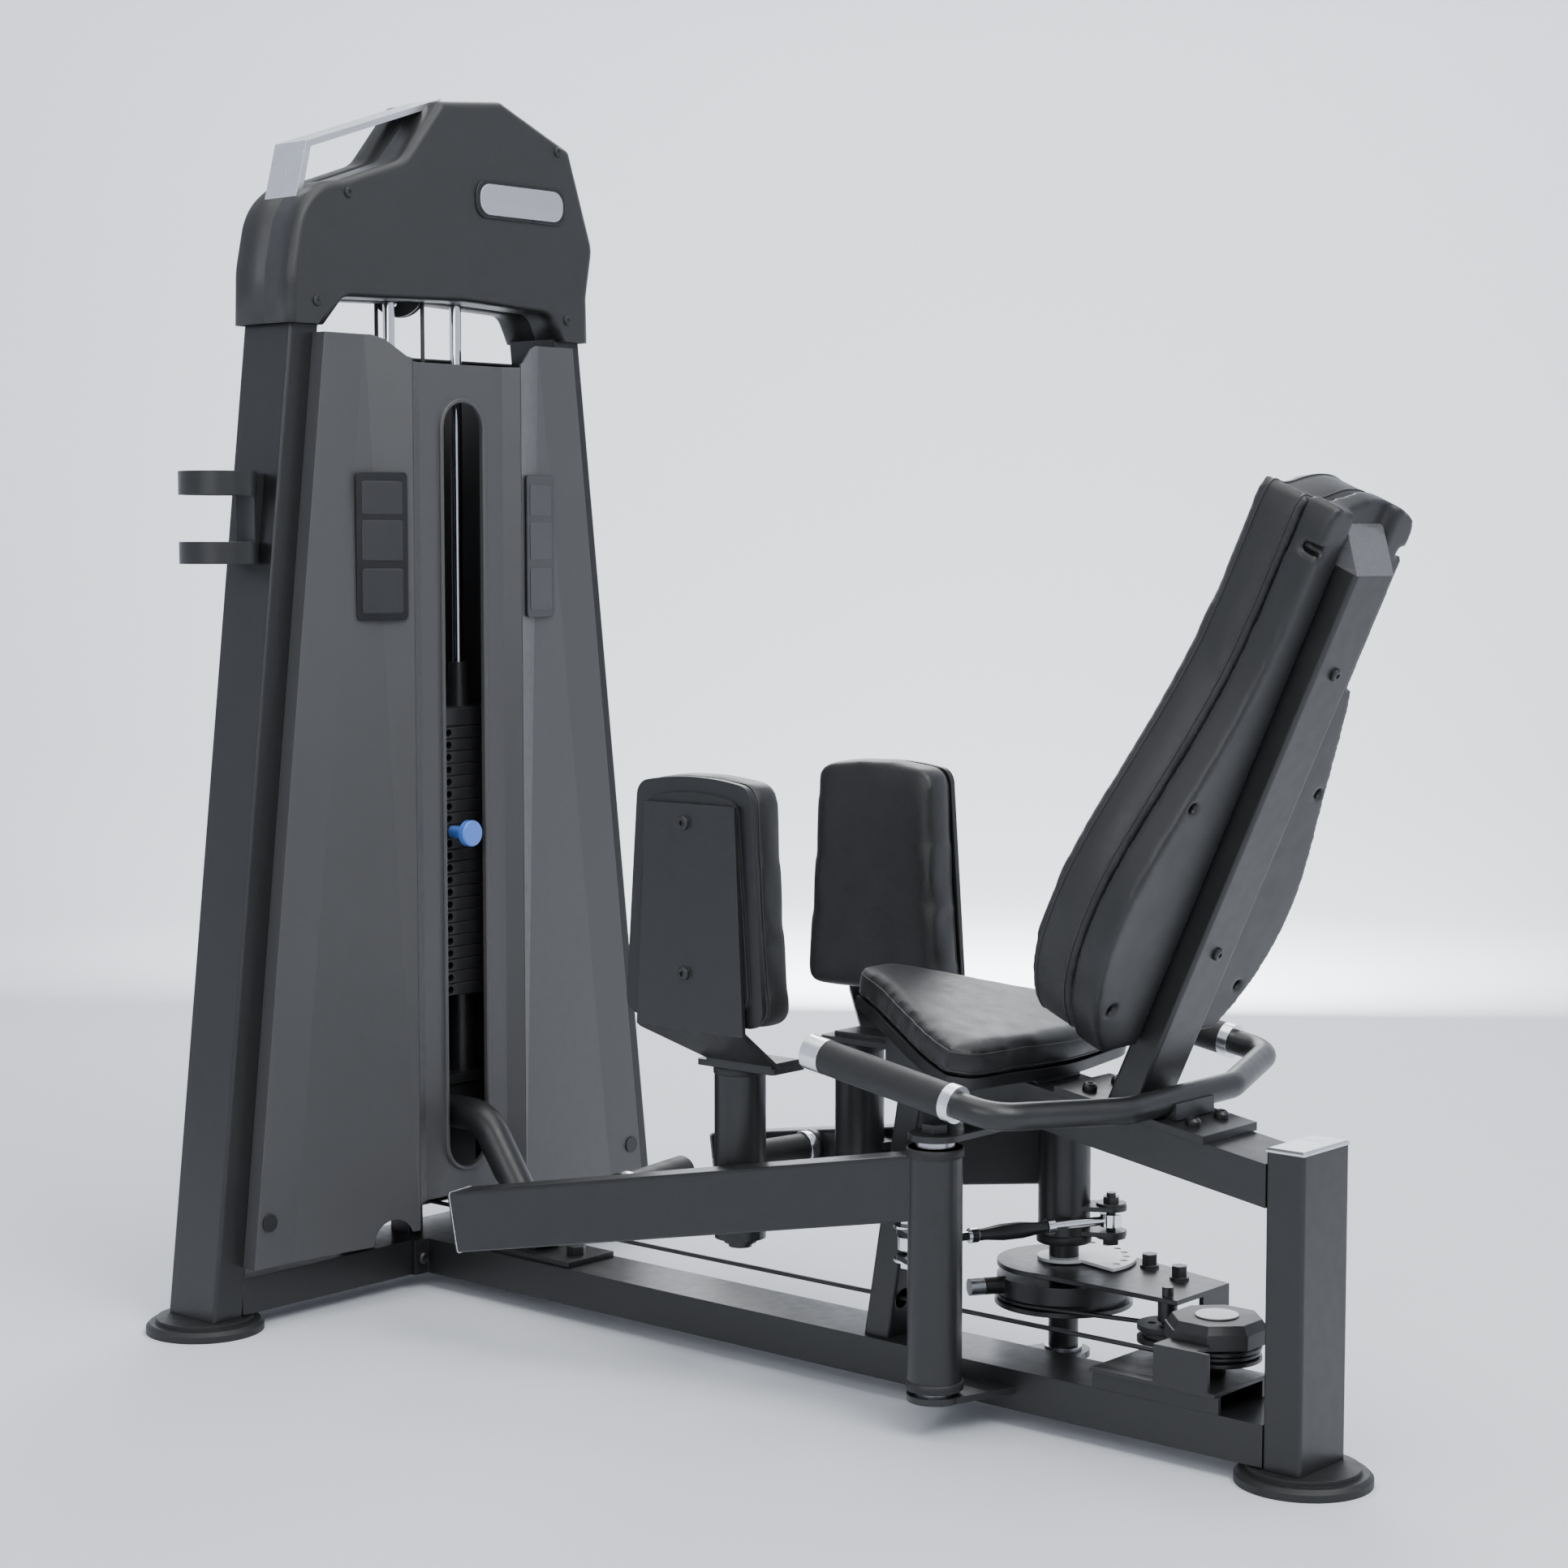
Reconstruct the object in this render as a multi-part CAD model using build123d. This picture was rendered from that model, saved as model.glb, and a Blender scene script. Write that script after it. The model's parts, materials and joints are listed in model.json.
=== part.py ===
"""Hip abductor machine: a selectorised weight tower joined by a floor beam to a seat with two swinging
leg arms.  Millimetres.  Origin: centre of the footprint on the floor.  +Z up.  The weight tower is at -X,
the user faces -X, so the user's left is -Y.  Every sub-part is one function that returns a solid or a
group of identical solids, and the bottom of the file exports one STEP file per sub-part."""
import os
from math import asin, atan2, cos, degrees, hypot, radians, sin, tan

from build123d import *

# ---- driving dimensions -------------------------------------------------------------------------------
TOWER_X = -744.0          # mid-plane of the weight tower
REAR_X = 744.0            # axis of the rear post
FOOT_R = 80.0             # floor discs
FOOT_H = 20.0
COLUMN = (100.0, 50.0)    # tower column section, X by Y
COLUMN_FOOT_Y = 407.4     # column axis at z = FOOT_H
COLUMN_LEAN = 0.1149      # how far the axis moves inward per unit of height
COLUMN_TOP_Z = 1530.0
WALL = 3.0                # tube wall
BEAM_Z = (22.0, 72.0)     # floor beam
BEAM_HALF_Y = 50.0
POST_TOP_Z = 388.0
CROSS_Z = (1480.0, 1530.0)
WING_Z = (88.0, 1363.0)   # bottom and top of the front cover wings
SEAM_X = -735.0           # seam between the two shells of the tower head

PIVOT = (310.0, 133.0)    # leg arm pivot, mirrored to -Y
PIVOT_R = 33.25
SPINDLE_R = 14.0
RUN_GAP = 0.05            # radial clearance of every running fit
ARM_Z = 306.8             # arm centre line at the pivot
ARM_DROP = 10.1           # degrees below the horizontal, towards the tower
ARM_SPLAY = 10.36         # degrees outward from the machine's centre plane
ARM_LENGTH = 714.0
ARM_SECTION = (50.0, 80.0)
PAD_POST = (-16.5, 119.7)
PAD_POST_R = 33.0
PAD_POST_Z = (190.0, 412.0)
PEG_AT = 480.0            # distance of the foot peg along the arm
PEG_Z = 240.0

CRANK_R = 60.0            # tie rod bolt circle round each pivot
CRANK_ANGLE = 25.0        # rest angle of the right lug, mirrored on the left
TIE_ANGLE = 66.7          # direction of the tie rod, which stays the same as the arms open
TIE_LENGTH = 289.3
TIE_Z = 221.0
TIE_BOLT_R = 6.0
LUG_SLACK_R = 12.6        # hole of the left lug, where the closed linkage is opened

CABLE_Z = 122.0
CABLE_R = 3.0
CAM_PITCH = 83.2
BIG_PULLEY = (603.0, 34.0, 49.5)      # x, y, pitch radius
SMALL_PULLEY = (515.0, 62.0, 32.5)
LOW_PULLEY_R = 45.5
RISER_X = -795.0
TOWER_RUN_Y = -34.0
TOP_PULLEY_Z = 1438.0
LIFT = (-735.0, 0.0)      # axis of the lift cable and selector stem
ROD_Y = 64.0              # guide rods
ROD_R = 8.5

PLATE_COUNT = 22
PLATE_PITCH = 17.8
PLATE_SIZE = (96.0, 300.0, 17.4)
STACK_Z = 420.0
LIFTED = 9                # plates above the selector pin

BEAM_SLOPE = 0.16
BACK_LEAN = 24.6


# ---- small builders -----------------------------------------------------------------------------------
def block(x0, x1, y0, y1, z0, z1):
    """Axis-aligned box between limits."""
    return Pos((x0 + x1) / 2, (y0 + y1) / 2, (z0 + z1) / 2) * Box(x1 - x0, y1 - y0, z1 - z0)


def disc(x, y, z0, z1, r):
    """Upright cylinder between two heights."""
    return Pos(x, y, (z0 + z1) / 2) * Cylinder(r, z1 - z0)


def rod(p, q, r):
    """Cylinder between two points."""
    axis = Vector(*q) - Vector(*p)
    return extrude(Plane(origin=p, z_dir=axis) * Circle(r), axis.length)


def ring(x, y, z0, z1, r_out, r_in):
    """Upright tube between two heights."""
    return disc(x, y, z0, z1, r_out) - disc(x, y, z0 - 1, z1 + 1, r_in)


def bar(p, q, side, width, height, corner=5.0, wall=None):
    """Rounded rectangular tube from p to q; width lies along side."""
    axis = Vector(*q) - Vector(*p)
    plane = Plane(origin=p, x_dir=side, z_dir=axis)
    solid = extrude(plane * RectangleRounded(width, height, corner), axis.length)
    if wall:
        solid -= extrude(plane * Rectangle(width - 2 * wall, height - 2 * wall), axis.length)
    return solid


def prism(plane, sketch, depth):
    """Sketch on a plane, extruded along the plane's normal whichever way its outline runs."""
    return extrude(plane * sketch, depth, dir=plane.z_dir)


def flat(points, z0, z1):
    """Polygon in plan, extruded between two heights."""
    return prism(Plane.XY.offset(z0), Polygon(*points, align=None), z1 - z0)


def side_profile(points, half_y):
    """Polygon in the XZ plane, extruded both ways along Y."""
    face = Plane.XZ * Polygon(*points, align=None)
    return extrude(face, half_y, both=True)


def group(*shapes):
    """Separate solids that share one node."""
    return Compound([solid for shape in shapes for solid in shape.solids()])


def mirrored(shape):
    """The same shape on the user's other side."""
    return mirror(shape, Plane.XZ)


def hexagon(x, y, z0, z1, across):
    """Upright hexagonal bolt head or nut."""
    return Pos(x, y, z0) * extrude(RegularPolygon(across / 2, 6, major_radius=False), z1 - z0)


def socket_screw(p, outward, r, h, hex_across):
    """Button screw head standing on p with a hexagonal socket."""
    plane = Plane(origin=p, z_dir=outward)
    head = extrude(plane * Circle(r), h)
    head = chamfer(head.faces().sort_by(Axis(p, outward))[-1].edges(), h * 0.35)
    socket = plane.offset(h * 0.45) * RegularPolygon(hex_across / 2, 6, major_radius=False)
    return head - extrude(socket, h)


def beam_top(x):
    """Top surface of the sloping seat beam."""
    return 384.0 + (654.0 - x) * BEAM_SLOPE


# ---- tower --------------------------------------------------------------------------------------------
def column_axis_y(z):
    return COLUMN_FOOT_Y - COLUMN_LEAN * (z - FOOT_H)


def column_solid(wall=WALL):
    """Right-hand leaning column between its foot disc and its top."""
    low, high = -40.0, COLUMN_TOP_Z + 40.0
    tube = bar((TOWER_X, column_axis_y(low), low), (TOWER_X, column_axis_y(high), high),
               (1, 0, 0), *COLUMN, wall=wall)
    return tube & block(-900, -600, 0, 600, FOOT_H, COLUMN_TOP_Z)


def foot_disc(x, y):
    """Round floor disc with a raised chamfered rim."""
    body = disc(x, y, 0, 14, FOOT_R)
    body = chamfer(body.edges().group_by(Axis.Z)[-1], 5)
    return body + disc(x, y, 14, FOOT_H, 66)


def base_beam():
    """Cross tube on the floor between the columns, with the flange that the main beam bolts to."""
    tube = block(TOWER_X - 50, TOWER_X + 50, -420, 420, *BEAM_Z)
    tube = tube - column_solid(None) - mirrored(column_solid(None))
    tube = tube & block(-900, -600, -382, 382, 0, 100)
    return tube - block(TOWER_X - 47, TOWER_X + 47, -360, 360, BEAM_Z[0] + 3, BEAM_Z[1] - 3)


def top_cross_member():
    """Tube inside the shroud that ties the columns and carries the guide rods and top pulley."""
    tube = block(TOWER_X - 50, TOWER_X + 50, -300, 300, *CROSS_Z)
    tube = tube - column_solid(None) - mirrored(column_solid(None))
    tube = tube & block(-900, -600, -222, 222, *CROSS_Z)
    nx, ny = top_pulley_axis()
    cx, cy = top_pulley_centre()
    for side in (-1, 1):
        cheek = Plane(origin=(cx, cy, 1452), x_dir=(ny, -nx, 0), z_dir=(nx, ny, 0))
        cheek = cheek.offset(11 if side > 0 else -15) * Rectangle(34, 56)
        tube += extrude(cheek, 4)
    return tube - rod((cx - 40 * nx, cy - 40 * ny, TOP_PULLEY_Z), (cx + 40 * nx, cy + 40 * ny, TOP_PULLEY_Z), 6)


def guide_rods():
    rods = [disc(LIFT[0], side * ROD_Y, STACK_Z - 120, CROSS_Z[0], ROD_R) for side in (-1, 1)]
    return group(*rods)


def stack_base():
    """Bench that lifts the weight stack off the floor beam, with its two front gussets."""
    bench = block(-783, -700, -150, 150, 288, 300)
    for y in (-140, 128):
        bench += block(-775, -712, y, y + 12, BEAM_Z[1], 288)
    bench += block(-712, -706, -140, 140, 228, 288)
    return bench


def bumpers():
    tubes = [ring(LIFT[0], side * ROD_Y, 300, STACK_Z, 22, ROD_R + RUN_GAP) for side in (-1, 1)]
    return group(*tubes)


def weight_plate(index):
    """One stack plate, counted from the bottom, with its rod holes and selector hole."""
    z0 = STACK_Z + index * PLATE_PITCH
    z1 = z0 + PLATE_SIZE[2]
    plate = block(TOWER_X - 39, TOWER_X + 57, -150, 150, z0, z1)
    plate = chamfer(plate.edges().filter_by(Axis.Y), 1.5)
    for y in (-ROD_Y, 0.0, ROD_Y):
        plate -= disc(LIFT[0], y, z0 - 1, z1 + 1, 12.0)
    mid = (z0 + z1) / 2
    return plate - rod((LIFT[0], 0, mid), (TOWER_X + 60, 0, mid), 5.5)


def plates(first, last):
    return group(*[weight_plate(i) for i in range(first, last)])


def stack_top():
    return STACK_Z + PLATE_COUNT * PLATE_PITCH


def top_plate():
    """Head plate of the stack with its two ribbed guide bushes."""
    z0, z1 = stack_top(), stack_top() + 27.0
    plate = chamfer(block(TOWER_X - 39, TOWER_X + 57, -150, 150, z0, z1).edges().filter_by(Axis.Y), 2)
    plate = plate - disc(LIFT[0], 0, z0 - 1, z1 + 1, 11)
    for side in (-1, 1):
        y = side * ROD_Y
        plate += Pos(LIFT[0], y, z1 + 32) * Cone(20, 14, 64)
        plate -= disc(LIFT[0], y, z0 - 1, z1 + 70, ROD_R + RUN_GAP)
    return plate


def selector_stem():
    """Drilled stem that hangs from the top plate through the stack."""
    stem = disc(LIFT[0], 0, STACK_Z + 4, stack_top() + 27, 11)
    stem += disc(LIFT[0], 0, stack_top() + 27, stack_top() + 45, 15)
    for i in range(PLATE_COUNT):
        z = STACK_Z + i * PLATE_PITCH + PLATE_SIZE[2] / 2
        stem -= rod((LIFT[0] - 20, 0, z), (LIFT[0] + 20, 0, z), 5.5)
    return stem


def pin_z():
    return STACK_Z + (PLATE_COUNT - LIFTED) * PLATE_PITCH + PLATE_SIZE[2] / 2


def selector_pin():
    z = pin_z()
    return rod((LIFT[0] - 9, 0, z), (-648, 0, z), 5.0)


def selector_knob():
    """Disc knob on a waisted stem."""
    z = pin_z()
    neck = Plane(origin=(-680, 0, z), z_dir=(1, 0, 0))
    knob = extrude(neck * Circle(9), 32) + extrude(neck.offset(32) * Circle(19), 11)
    knob = fillet(knob.faces().sort_by(Axis.X)[-1].edges(), 3)
    return knob - rod((-700, 0, z), (-648, 0, z), 5.0)


def sheet(*corners):
    """Flat piece of cover sheet with its outer face through the corners, thickened towards -X."""
    return extrude(Face(Wire.make_polygon(corners)), WALL, dir=(-1, 0, 0))


def front_wing():
    """Right-hand folded sheet wing; the bottom edge rises in a curve towards the centre."""
    z0, z1 = WING_Z
    crease = {z: 167.0 + (z1 - z) * 0.1144 for z in WING_Z}
    edge = {z: 238.0 + (z1 - z) * 0.1122 for z in WING_Z}
    inner_x, outer_x, back_x = -641, -669, -694
    wing = sheet((inner_x, 104.5, z0), (outer_x, crease[z0], z0), (outer_x, crease[z1], z1))
    wing += sheet((inner_x, 104.5, z0), (outer_x, crease[z1], z1), (inner_x, 104.5, z1))
    wing += sheet((outer_x, crease[z0], z0), (outer_x, edge[z0], z0),
                  (outer_x, edge[z1], z1), (outer_x, crease[z1], z1))
    rim = [(edge[z0] - WALL, z0), (edge[z0], z0), (edge[z1], z1), (edge[z1] - WALL, z1)]
    wing += prism(tower_plane(back_x), Polygon(*rim, align=None), outer_x - back_x)
    low = block(-720, -600, 60, 148, 0, 100) + rod((-720, 148, 88), (-600, 148, 88), 34)
    return wing - low - side_cut(z1)


def side_cut(z):
    """Wedge above the sloping top edge of a wing."""
    outline = Plane(origin=(-720, 0, 0), x_dir=(0, 1, 0), z_dir=(1, 0, 0))
    points = [(90, z - 35), (112, z - 28), (140, z - 6), (158, z), (158, z + 40), (90, z + 40)]
    return prism(outline, Polygon(*points, align=None), 140)


def front_panel():
    """Centre sheet with the long selector slot and its rolled bead."""
    t = WALL
    outline = [(-641, 103.5), (-655, 80), (-655, -80), (-641, -103.5)]
    inside = [(-641 - t, -103.5), (-655 - t, -80 + 1), (-655 - t, 80 - 1), (-641 - t, 103.5)]
    sheet = flat(outline + inside, 137, 1328)
    face = Plane(origin=(-665, 0, 725), x_dir=(0, 0, 1), z_dir=(1, 0, 0))
    sheet -= extrude(face * SlotOverall(1100, 76), 20)
    bead = Plane(origin=(-658, 0, 725), x_dir=(0, 0, 1), z_dir=(1, 0, 0))
    rim = extrude(bead * (SlotOverall(1112, 88) - SlotOverall(1099, 75)), 8)
    rim = fillet(rim.faces().sort_by(Axis.X)[-1].edges(), 2.4)
    return sheet + rim


def rear_cover():
    """Shallow tray that closes the back of the tower."""
    def tray(inset, x):
        corners = [(-378 + inset, 90 + inset), (378 - inset, 90 + inset),
                   (234 - inset, 1345 - inset), (-234 + inset, 1345 - inset)]
        plane = Plane(origin=(x, 0, 0), x_dir=(0, 1, 0), z_dir=(1, 0, 0))
        return prism(plane, Polygon(*corners, align=None), 18)
    return tray(0, -812) - tray(3, -809) - disc(*riser_point(), 1300, 1400, 8)


def placard():
    """Blank plate on the sloping face of the right-hand wing."""
    top, low = 1174.0, 968.0
    normal = Vector(98, 28, 0).normalized()
    along = Vector(-28, 98, 0).normalized()
    centre = Vector(-655.2, 152, (top + low) / 2)
    plane = Plane(origin=centre, x_dir=along, z_dir=normal)
    return extrude(plane * RectangleRounded(78, top - low, 7), 3.4) - front_wing()


def plug():
    """Round snap plug near the foot of the right-hand wing."""
    return rod((-669, 355, 150), (-666, 355, 150), 12)


def guard_tube():
    """Bent tube that carries the stack bench forward to the main beam, with its bolted foot."""
    with BuildLine() as route:
        FilletPolyline((-706, 0, 252), (-618, 0, 252), (-494, 0, 80), radius=60)
    path = route.wire()
    start = Plane(origin=(-706, 0, 252), z_dir=(1, 0, 0))
    tube = sweep(start * Circle(24), path=path) & block(-706, -400, -30, 30, 80, 300)
    return tube + block(-566, -404, -45, 45, BEAM_Z[1], 80)


def cup_holder():
    """Two-ring bottle holder on the outside of the left column."""
    x, y = TOWER_X, -365.0
    stem = block(x - 20, x + 20, y + 40, -290, 1055, 1170)
    stem -= disc(x, y, 1000, 1200, 50)
    body = ring(x, y, 1140, 1172, 53, 48) + ring(x, y, 1047, 1077, 53, 48) + disc(x, y, 1047, 1052, 49)
    return body + stem - mirrored(column_solid(None))


# ---- shroud -------------------------------------------------------------------------------------------
def rounded_polygon(points):
    """Closed outline from corner points (x, y, corner radius)."""
    outline = Polygon(*[(x, y) for x, y, _ in points], align=None)
    for x, y, r in points:
        if r:
            corner = outline.vertices().sort_by_distance((x, y, 0))[0]
            outline = fillet(corner, r)
    return outline


def shroud_outline():
    """Front view of the tower head: high shoulder on the right, handle bay on the left, arch below."""
    return rounded_polygon([
        (-222, 1374, 0), (-288, 1374, 0), (-286, 1450, 120), (-268, 1535, 90), (-225, 1568, 60),
        (-190, 1574, 30),
        (-80, 1612, 50), (-8, 1700, 12), (112, 1712, 16), (250, 1655, 12), (299, 1514, 40),
        (286, 1440, 60), (288, 1374, 0), (228, 1374, 0), (208, 1414, 26), (40, 1421, 0),
        (-186, 1414, 24)])


def tower_plane(x):
    """Plane facing +X at the given x, with its local X along +Y and its local Y up."""
    return Plane(origin=(x, 0, 0), x_dir=(0, 1, 0), z_dir=(1, 0, 0))


def shroud_prism(x0, x1, inset):
    """Tower head outline, shrunk by inset, between two X limits."""
    face = shroud_outline()
    if inset:
        face = offset(face, amount=-inset, kind=Kind.INTERSECTION)
    return prism(tower_plane(x0), face, x1 - x0)


def shroud_half(x0, x1, core_x0, core_x1):
    """One moulded shell, open at the seam, with openings for the legs, guide rods and cables."""
    shell = shroud_prism(x0, x1, 0) - shroud_prism(core_x0, core_x1, 4)
    for leg in (block(-800, -688, -284, -224, 1365, 1385), block(-800, -688, 230, 284, 1365, 1385)):
        shell -= leg
    for y in (-ROD_Y, 0, ROD_Y):
        shell -= disc(LIFT[0], y, 1400, 1440, 14)
    shell -= block(-804.5, -710, -62, 28, 1392, 1484)
    return shell - disc(*riser_point(), 1400, 1440, 6) - column_solid(None) - mirrored(column_solid(None))


def shroud_front():
    return shroud_half(SEAM_X, -682, SEAM_X - 1, -686)


def shroud_rear():
    return shroud_half(-806, SEAM_X, -802, SEAM_X + 1)


def shroud_screws():
    spots = [(-240, 1405), (-182, 1556), (222, 1650), (240, 1405)]
    return group(*[socket_screw((-682, y, z), (1, 0, 0), 7, 3, 5) for y, z in spots])


def badge():
    """Blank oval plate on the front of the head."""
    plane = Plane(origin=(-682, 146, 1569), x_dir=(0, 1, 0), z_dir=(1, 0, 0))
    plate = extrude(plane * RectangleRounded(180, 54, 20), 3)
    return fillet(plate.faces().sort_by(Axis.X)[-1].edges(), 1.2)


def carry_handle():
    """Bent strap over the left shoulder of the head."""
    line = [(-254, 1535), (-231, 1624), (18, 1708)]
    inner = [(14, 1698), (-223, 1617), (-243, 1535)]
    plane = Plane(origin=(-777, 0, 0), x_dir=(0, 1, 0), z_dir=(1, 0, 0))
    strap = prism(plane, Polygon(*line, *inner, align=None), 66)
    return strap - shroud_prism(-806, -682, 0)


# ---- floor beam, rear post, seat frame ---------------------------------------------------------------
def main_beam():
    """Floor beam from the tower to the rear post, with its end flange and cable saddle."""
    beam = block(-686, 719, -BEAM_HALF_Y, BEAM_HALF_Y, *BEAM_Z)
    beam -= block(-680, 713, -47, 47, BEAM_Z[0] + 3, BEAM_Z[1] - 3)
    return beam + block(-694, -686, -75, 75, *BEAM_Z)


def saddle():
    """Inverted tray on the beam that carries the big pulley and the pulley cover bracket."""
    tray = block(484, 660, -58, 58, 93, 98)
    tray += block(484, 660, -50, -45, 72, 93) + block(484, 660, 45, 50, 72, 93)
    tray += block(492, 538, 58, 78, 93, 98)
    tray += block(575, 650, -58, -53, 98, 143) + block(575, 631, -53, -24, 138, 143)
    return tray + disc(BIG_PULLEY[0], BIG_PULLEY[1], 98, 110, 12)


def pivot_plates():
    """Lower bearing plates on both sides of the floor beam."""
    px, py = PIVOT
    web = [(px - 60, 50), (px + 60, 50), (px + 34, py), (px - 34, py)]
    plate = disc(px, py, 43, 51, 34) + flat(web, 43, 51)
    return group(plate, mirrored(plate))


def pivot_bridge():
    """Upper bearing plate across both pivots, hung from the seat beam on a riser block."""
    px, py = PIVOT
    plate = block(px - 33, px + 33, -py, py, 361.5, 369.5)
    plate += disc(px, py, 361.5, 369.5, 33) + disc(px, -py, 361.5, 369.5, 33)
    riser = block(px - 28, px + 28, -42, 42, 369.5, 400)
    return plate + (riser - seat_beam(None))


def pivot_spindles():
    """Fixed spindles of both leg arms with their thrust collars."""
    px, py = PIVOT
    pins = []
    for side in (-1, 1):
        pin = disc(px, side * py, 51, 361.5, SPINDLE_R)
        pin += disc(px, side * py, 51, 55.8, 24) + disc(px, side * py, 352.9, 361.5, 24)
        pins.append(pin)
    return group(*pins)


def frame_bolts():
    """Hexagon and socket bolts of the frame."""
    px, py = PIVOT
    bolts = [hexagon(px, side * py, 369.5, 381, 30) for side in (-1, 1)]
    bolts += [socket_screw((-686, side * 62, 46), (1, 0, 0), 9, 8, 8) for side in (-1, 1)]
    bolts += [hexagon(x, 0, 80, 92, 24) for x in (-552, -433)]
    for x in (462, 608):
        z = beam_top(x) + 10
        for y in (-30, 30):
            bolts.append(socket_screw((x, y, z + 0.2), (BEAM_SLOPE, 0, 1), 9, 9, 8))
    return group(*bolts)


def rear_post():
    post = bar((REAR_X, 0, FOOT_H), (REAR_X, 0, POST_TOP_Z), (1, 0, 0), 50, 100, wall=WALL)
    return post


def rear_post_cap():
    cap = block(REAR_X - 25, REAR_X + 25, -50, 50, POST_TOP_Z, POST_TOP_Z + 5)
    return chamfer(cap.edges().group_by(Axis.Z)[-1], 2.5)


def seat_beam(wall=WALL):
    """Sloping beam from the seat post to the rear post."""
    def outline(inset):
        drop = 50.6 - inset
        return [(165, beam_top(165) - inset), (719, beam_top(719) - inset),
                (719, beam_top(719) - drop), (165, beam_top(165) - drop)]
    beam = side_profile(outline(0), BEAM_HALF_Y)
    if wall:
        beam -= side_profile(outline(wall), BEAM_HALF_Y - wall)
    return beam


def seat_post():
    """Leaning post under the nose of the seat, drilled for the cable."""
    lean = tan(radians(9.7))
    z1 = 470.0
    post = bar((142 - 40 * lean, 0, 32), (142 + (z1 - 72) * lean, 0, z1), (0, 1, 0), 80, 40, wall=WALL)
    post = post & block(0, 400, -60, 60, BEAM_Z[1], 480)
    post = post - seat_beam(None) - block(0, 400, -60, 60, 418, 500)
    return post - rod((100, -21.8, CABLE_Z), (200, -21.8, CABLE_Z), 13)


# ---- seat ---------------------------------------------------------------------------------------------
def seat_plane(depth):
    """Plane of the seat, lowered by depth below the cushion's edge height."""
    lean = radians(11.31)
    origin = (108 - depth * sin(lean), 0, 541 - depth * cos(lean))
    return Plane(origin=origin, x_dir=(cos(lean), 0, -sin(lean)), z_dir=(sin(lean), 0, cos(lean)))


def seat_outline(grow):
    """Plan of the seat: narrow nose between the thighs, wide rear."""
    half = [(0, 34), (44, 58), (84, 83), (150, 125), (209, 160), (270, 187)]
    nose = [(x, y + grow) for x, y in half]
    with BuildLine() as line:
        front = Line((-grow, -34), (-grow, 34))
        right = Spline(*nose[1:], tangents=((1, 0.5), (1, 0.35)))
        Spline(right @ 1, (300 + grow, 120), (312 + grow, 0), (300 + grow, -120),
                      (270, -187 - grow), tangents=((0.9, -0.5), (-0.9, -0.5)))
        left = Spline(*[(x, -y) for x, y in reversed(nose[1:])], tangents=((-1, 0.35), (-1, 0.5)))
        Line(front @ 1, right @ 0)
        Line(left @ 1, front @ 0)
    return make_face(line.wire())


def seat_cushion():
    return prism(seat_plane(37), seat_outline(0), 37)


def seat_board():
    return prism(seat_plane(52), seat_outline(-4), 14.6)


def seat_brackets():
    """Two spacer rails between the seat beam and the seat board."""
    rails = []
    for x0, x1 in ((190, 250), (335, 395)):
        rail = block(x0, x1, -45, 45, 400, 500) - extrude(seat_plane(52) * Rectangle(1400, 400), 80)
        below = side_profile([(100, 300), (100, beam_top(100)), (700, beam_top(700)), (700, 300)], 60)
        rails.append(rail - below)
    return group(*rails)


# ---- backrest -----------------------------------------------------------------------------------------
BACK_U = (sin(radians(BACK_LEAN)), 0, cos(radians(BACK_LEAN)))
BACK_N = (cos(radians(BACK_LEAN)), 0, -sin(radians(BACK_LEAN)))
BACK_O = (564.0, 0.0, 542.0)


def back_plane(n):
    """Plane of the backrest, n behind the shell's rear face; local X is +Y, local Y runs up the lean."""
    origin = tuple(o + n * v for o, v in zip(BACK_O, BACK_N))
    return Plane(origin=origin, x_dir=(0, 1, 0), z_dir=BACK_N)


def back_point(s, y, n):
    return tuple(o + s * u + n * v + (y if i == 1 else 0)
                 for i, (o, u, v) in enumerate(zip(BACK_O, BACK_U, BACK_N)))


def back_outline(grow):
    """Backrest seen square on: wide at the loins, tapering to the head."""
    half = [(118, -58), (170, 10), (188, 100), (158, 235), (107, 400), (94, 590)]
    side = [(w + grow, s) for w, s in half]
    with BuildLine() as line:
        low = Line((-118 - grow, -58 - grow), (118 + grow, -58 - grow))
        right = Spline(low @ 1, *side[1:-1], side[-1], tangents=((1, 0.9), (-0.02, 1)))
        crown = Spline(right @ 1, (66, 622 + grow), (0, 630 + grow), (-66, 622 + grow), (-94 - grow, 590),
                       tangents=((-0.02, 1), (-0.02, -1)))
        Spline(crown @ 1, *[(-w, s) for w, s in reversed(side[1:-1])], low @ 0,
               tangents=((-0.02, -1), (1, -0.9)))
    return make_face(line.wire())


def back_prism(n, sketch, depth):
    """Sketch whose Y runs up the lean, placed n behind the shell's rear face and extruded rearwards."""
    return prism(back_plane(n), sketch, depth)


def back_cushion():
    return back_prism(-108, back_outline(-2), 67.5)


def back_shell():
    """Moulded shell with the recess that the back post sits in and its screw holes."""
    shell = back_prism(-40, back_outline(0), 40)
    recess = back_prism(-14.2, Pos(0, 270) * Rectangle(88, 760), 60)
    shell -= recess
    for s, y in ((573, 86), (261, 133), (0, 133)):
        for side in (-1, 1):
            p, q = back_point(s, side * y, -26), back_point(s, side * y, 5)
            shell -= rod(p, q, 7)
    return shell


def back_post():
    """Leaning tube behind the backrest."""
    p, q = back_point(-260, 0, 6), back_point(557, 0, 6)
    post = bar(p, q, (0, 1, 0), 80, 40, wall=WALL)
    under = side_profile([(300, 0), (300, beam_top(300) + 10), (800, beam_top(800) + 10), (800, 0)], 60)
    return post - under


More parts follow.
